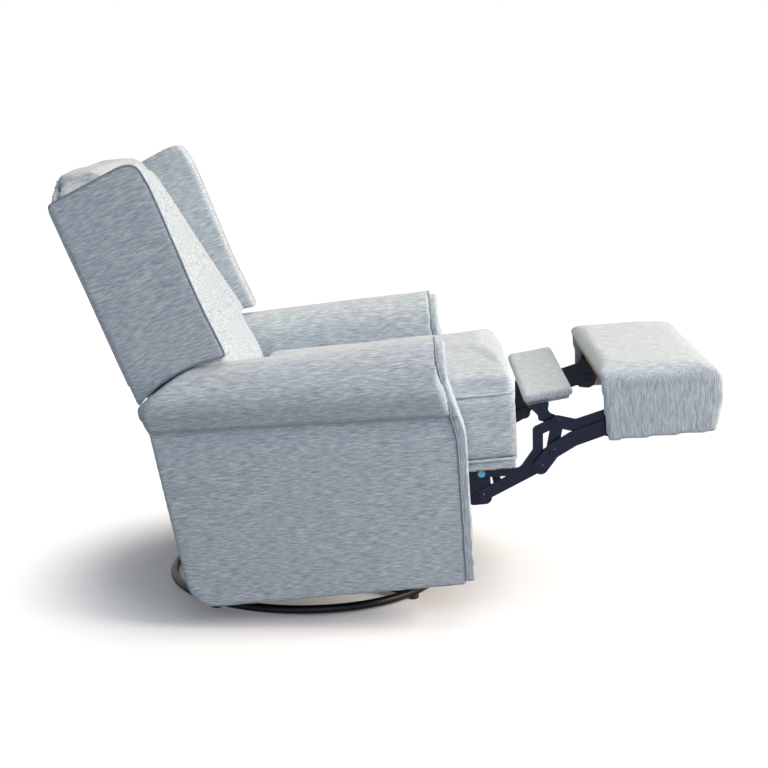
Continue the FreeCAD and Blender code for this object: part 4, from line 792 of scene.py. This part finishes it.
def arm_push(points, normals):
    """Gathers by the crease, soft hollows in the side panel, and a fuller middle of the roll."""
    y = points[:, 1]
    above = points[:, 2] - arm_seam_height(y)
    outward = normals[:, 0] * np.sign(points[:, 0])
    outside = np.clip(outward, 0, 1)
    inside = np.clip(-outward, 0, 1)
    gathers = np.zeros(len(points))
    for index, (y, z) in enumerate(zip(points[:, 1], above)):
        wide = noise.noise(Vector((y / WIDE_GATHER, z / 0.11, 3.7)))
        fine = noise.noise(Vector((y / FINE_GATHER, z / 0.07, 9.1)))
        gathers[index] = 1.5 * wide + 0.9 * fine
    near = np.exp(-np.abs(above) / 0.030)
    clumps = 0.3 + 0.5 * np.clip(waves(points * (0, 1, 0), 0.085, 2) + 0.45, 0, 1)
    for middle, half in PUCKERS:
        clumps += 3.5 * bump(y - middle, half)
    roll = np.clip(above / 0.03, 0, 1)
    past_front = np.clip((y - arm_seam_front[0] + 0.004) / 0.07, 0, 1)
    fuller = ROLL_FULLNESS * bump(above - FULLEST_ABOVE_SEAM, 0.034) * past_front
    crease = -CREASE_DEPTH * bump(above - 0.001, 0.007) - 3.0 * bump(above + 0.022, 0.02)
    tuck = -5.0 * bump(y - TUCK[0], 0.03) * bump(points[:, 2] - TUCK[1], 0.006)
    slack = waves(points, 0.16, 5) * (1.0 + 0.8 * roll)
    return ((gathers * near * clumps + fuller + crease + tuck) * outside + 3.0 * inside * roll + slack) * MM


arms = {}
for side in ("right", "left"):
    cover = soft_copy("arm_cloth_" + side, "arm_cover_" + side, 4.5 * MM, 5)
    shaped(cover, arm_push)
    arms[side] = cover
    print(cover.name, "has", len(cover.data.polygons), "faces")

# %% [markdown]
# The arm's front panel is a thin padded board with cloth wrapped over it. It closes the end of
# the arm, and piping follows its outer edge from the floor side up over the roll.

# %% Arm front panels
def panel_push(points, normals):
    low, high = points.min(0), points.max(0)
    middle = (low + high) / 2
    half = (high - low) / 2
    inward = 1 - np.abs((points[:, 0] - middle[0]) / half[0]) ** 2.5
    forward = np.clip(-normals[:, 1], 0, 1)
    return (3.2 * np.clip(inward, 0, 1) * forward + 0.8 * waves(points, 0.07, 6)) * MM


for side in ("right", "left"):
    panel = soft_copy("arm_front_cloth_" + side, "arm_front_panel_" + side, 3.2 * MM, 4)
    shaped(panel, panel_push)
    edge = rim("arm_cover_" + side, lambda n: n.y < -0.6)
    finished(panel, "chair_body", cloth_footrest, ["arm_front_panel_" + side])
    path = relaxed(even(edge, 4 * MM), 10, True)
    path = open_run(path, turned(path, LEVEL)[:, 2] > 0.075)
    path = relaxed(laid_on(path, arms[side], 1.4 * MM), 12)
    cord = piping("arm_front_piping_" + side, path, 2.3 * MM, shaded_piping_cloth)
    finished(cord, "chair_body")
    finished(arms[side], "chair_body", cloth_level, ["arm_cover_" + side])

# %% [markdown]
# ## Seat cushion
# The seat is a boxed cushion: a crowned top, a straight boxing strip round it, and a welt in each
# of the two seams. The welts are piping of the same cloth. The air pressure of the simulation
# crowns the top and rounds the front, and the points at the two seams are held.

# %% Seat cushion
WELT_TOP = 0.421
WELT_LOW = 0.288


def seam_hold(points, heights, width):
    near = np.min([np.abs(points[:, 2] - height) for height in heights], axis=0)
    return np.exp(-(near / width) ** 2)


seat = soft_copy("seat_cushion_cloth", "seat_cushion", 7 * MM, 8)
level_points = turned(points_of(seat), LEVEL)
held = seam_hold(level_points, [WELT_TOP, WELT_LOW], 0.008)
held = np.maximum(held, level_points[:, 2] < seat_low[2] + 0.01)
held = np.maximum(held, level_points[:, 1] > seat_high[1] - 0.02)
held = np.maximum(held, 0.6 * (np.abs(level_points[:, 0]) > 0.2))
swollen(seat, held, 2.0, 7 * MM, 14)
modify(seat, "SMOOTH", factor=0.5, iterations=3)


def seat_push(points, normals):
    seams = bump(points[:, 2] - WELT_TOP, 0.005) + bump(points[:, 2] - WELT_LOW, 0.005)
    outward = np.clip(1 - np.abs(normals[:, 2]), 0, 1)
    return (-3.0 * seams * outward + 1.4 * waves(points, 0.13, 1) + 0.5 * waves(points, 0.045, 8)) * MM


shaped(seat, seat_push)
finished(seat, "chair_body", cloth_level, ["seat_cushion"])
line = relaxed(even(seam(seat, (0, 0, WELT_TOP), (0, 0, 1)), 4 * MM), 3, True)
welt = piping("seat_upper_welt", laid_on(line, seat, 1.6 * MM), 2.8 * MM, cloth_level, True)
finished(welt, "chair_body", cloth_level)

# %% [markdown]
# Under the cushion a flat band of cloth closes the front of the seat box. It is stapled along its
# lower edge, and sags a little between the staples.

# %% Seat band
band = soft_copy("seat_band_cloth", "seat_border", 4 * MM, 3)
shaped(band, lambda points, normals: (0.9 * waves(points, 0.06, 3)) * MM)
finished(band, "chair_body", cloth_level, ["seat_border"])
band_low, band_high = level_box("seat_border")
corner = 0.012
turns = np.radians(np.linspace(0, 90, 7))
left = [(band_high[0] - corner + corner * math.cos(t), band_low[1] + corner - corner * math.sin(t))
        for t in turns]
right = [(-x, y) for x, y in reversed(left)]
outline = [(band_high[0], band_high[1])] + left + right + [(-band_high[0], band_high[1])]
lower = even([Vector((x, y, band_high[2] + 0.4 * MM)) for x, y in outline], 4 * MM)
welt = piping("seat_lower_welt", turned(lower, LEAN), 3.6 * MM, cloth_level)
finished(welt, "chair_body", cloth_level)

# %% [markdown]
# ## Back
# The inside back is a deep, loose-looking pillow between the wings. It swells most in its lower
# third, where the lumbar padding is, and it is pinned where it meets the frame, the wings and the
# seat.

# %% Inside back cushion
_, back_high = level_box("back_cushion")
pillow = soft_copy("inside_back_cloth", "back_cushion", 8 * MM, 7)
level_points, level_normals = level_of(pillow)
held = np.clip((level_normals[:, 1] + 0.1) * 4, 0, 1)
held = np.maximum(held, 0.7 * (np.abs(level_points[:, 0]) > back_high[0] - 0.03))
swollen(pillow, held, 2.5, 12 * MM, 14)
modify(pillow, "SMOOTH", factor=0.5, iterations=3)
shaped(pillow, lambda points, normals: (2.0 * waves(points, 0.15, 11) + 0.6 * waves(points, 0.05, 4)) * MM)
finished(pillow, "back", cloth_back, ["back_cushion"])

# %% [markdown]
# The wings are padded panels that stand forward of the back on each side. Their outer faces are
# pulled flat over board, their edges are soft, and thin piping follows the outer edge.

# %% Wings
def wing_push(points, normals):
    outward = np.abs(normals[:, 0])
    return (1.6 * waves(points, 0.14, 13) + 1.2 * waves(points, 0.06, 14) * (1 - outward)) * MM


for side, sign in (("right", -1), ("left", 1)):
    wing = soft_copy("wing_cloth_" + side, "wing_" + side, 4.5 * MM, 5)
    shaped(wing, wing_push)
    edge = rim("wing_" + side, lambda n: n.x * sign > 0.8)
    finished(wing, "back", cloth_back, ["wing_" + side])
    path = relaxed(even(edge, 4 * MM), 4, True)
    path = open_run(path, turned(path, LEVEL)[:, 2] > 0.52)
    cord = piping("wing_piping_" + side, relaxed(laid_on(path, wing, 0.6 * MM), 8), 2.0 * MM, shaded_piping_cloth)
    finished(cord, "back")

# %% [markdown]
# The outside back is one flat panel of cloth over board. It closes the back from behind, and the
# rear panel below it closes the seat box.

# %% Outside back and rear panel
outside = soft_copy("outside_back_cloth", "outside_back", 4.5 * MM, 3)
shaped(outside, lambda points, normals: (0.9 * waves(points, 0.12, 21)) * MM)
finished(outside, "back", cloth_back, ["outside_back"])
rear = soft_copy("rear_panel_cloth", "rear_panel", 4.5 * MM, 3)
shaped(rear, lambda points, normals: (0.8 * waves(points, 0.1, 22)) * MM)
finished(rear, "chair_body", cloth_level, ["rear_panel"])
print("faces of the two rear cloths:", len(outside.data.polygons), len(rear.data.polygons))

# %% [markdown]
# ## Footrest
# The footrest is a board with a deep pad. Its cloth is carried over the front and the two sides as
# flaps, with the weft turned a quarter, so the streaks run down the front flap.

# %% Footrest pad
FLAP_TOP = 0.42
pad = soft_copy("footrest_cloth", "footrest_pad", 5.5 * MM, 8)
level_points, level_normals = level_of(pad)
held = np.clip((-level_normals[:, 2]) * 3, 0, 1)
held = np.maximum(held, np.clip((FLAP_TOP - level_points[:, 2]) / 0.03, 0, 1))
swollen(pad, held, 1.5, 5 * MM, 12)
modify(pad, "SMOOTH", factor=0.5, iterations=3)


def pad_push(points, normals):
    """Soft hollows outside, and a thinner wall inside the side flaps, where the links fold in."""
    inside = np.clip(-normals[:, 0] * np.sign(points[:, 0]), 0, 1)
    hollows = 1.3 * waves(points, 0.12, 31) + 0.5 * waves(points, 0.04, 32)
    return (hollows * (1 - inside) - 2.2 * inside) * MM


shaped(pad, pad_push)
finished(pad, "footrest", cloth_footrest, ["footrest_pad"])

# %% [markdown]
# The small pad between the seat and the footrest fills the gap as the footrest comes out. It is a
# thin board with a rounded pad that wraps over its front and rear edges.

# %% Flipper pad
small = soft_copy("flipper_cloth", "flipper_pad", 3.0 * MM, 5, ["flipper_board"])
shaped(small, lambda points, normals: (1.8 + 0.8 * waves(points, 0.08, 41)) * MM)
finished(small, "flipper", cloth_footrest, ["flipper_pad"])
print(small.name, "has", len(small.data.polygons), "faces")

# %% [markdown]
# ## Pressed links
# The folding links are stamped from strip steel. A press raises the middle of each link and leaves
# a flat rim, which stiffens it and gives the long highlights along its edges. The raised middle is
# made from the link's own outer face: the face is inset by the width of the rim and lifted.

# %% Raised middles of the links
def pressed(node, body, rim_width, rise, fade_from=None):
    """Raised middle of a flat link. It fades out near one pivot, where another link passes."""
    sign = 1 if node.endswith("left") else -1
    bm = outer_skin(node)
    plane = max(vertex.co.x * sign for vertex in bm.verts)
    spare = [f for f in bm.faces
             if f.normal.x * sign < 0.99 or f.calc_center_median().x * sign < plane - 0.2 * MM]
    bmesh.ops.delete(bm, geom=spare, context="FACES")
    bmesh.ops.dissolve_limit(bm, angle_limit=0.01, verts=bm.verts, edges=bm.edges)
    bmesh.ops.triangulate(bm, faces=bm.faces)
    for vertex in bm.verts:
        vertex.co.x -= sign * 0.05 * MM
    bmesh.ops.inset_region(bm, faces=bm.faces, thickness=rim_width, use_even_offset=True)
    inner = {v for v in bm.verts if not v.is_boundary}
    for vertex in inner:
        share = 1.0
        if fade_from is not None:
            away = (vertex.co - fade_from).length
            share = min(1.0, max(0.0, (away - 0.05) / 0.03))
        vertex.co.x += sign * (0.05 * MM + rise * share)
    raised = [f for f in bm.faces if all(v in inner for v in f.verts)]
    bmesh.ops.inset_region(bm, faces=raised, thickness=1.0 * MM)
    mesh = bpy.data.meshes.new("pressed_" + node)
    bm.to_mesh(mesh)
    bm.free()
    piece = new_piece("pressed_" + node, mesh)
    piece.data.materials.append(finishes["link_steel"])
    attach(piece, body)
    return piece


footrest_turn = next(joint for joint in frame["joints"] if joint["name"] == "footrest_turn")
for side in ("left", "right"):
    foot_pivot = Vector(footrest_turn["pos_m"])
    foot_pivot.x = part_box("long_link_" + side)[1][0] if side == "left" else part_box("long_link_" + side)[0][0]
    pressed("rear_link_" + side, "rear_links", 4.5 * MM, 1.2 * MM)
    pressed("upper_link_" + side, "upper_links", 4.5 * MM, 1.2 * MM)
    pressed("long_link_" + side, "long_links", 5.0 * MM, 2.2 * MM, foot_pivot)
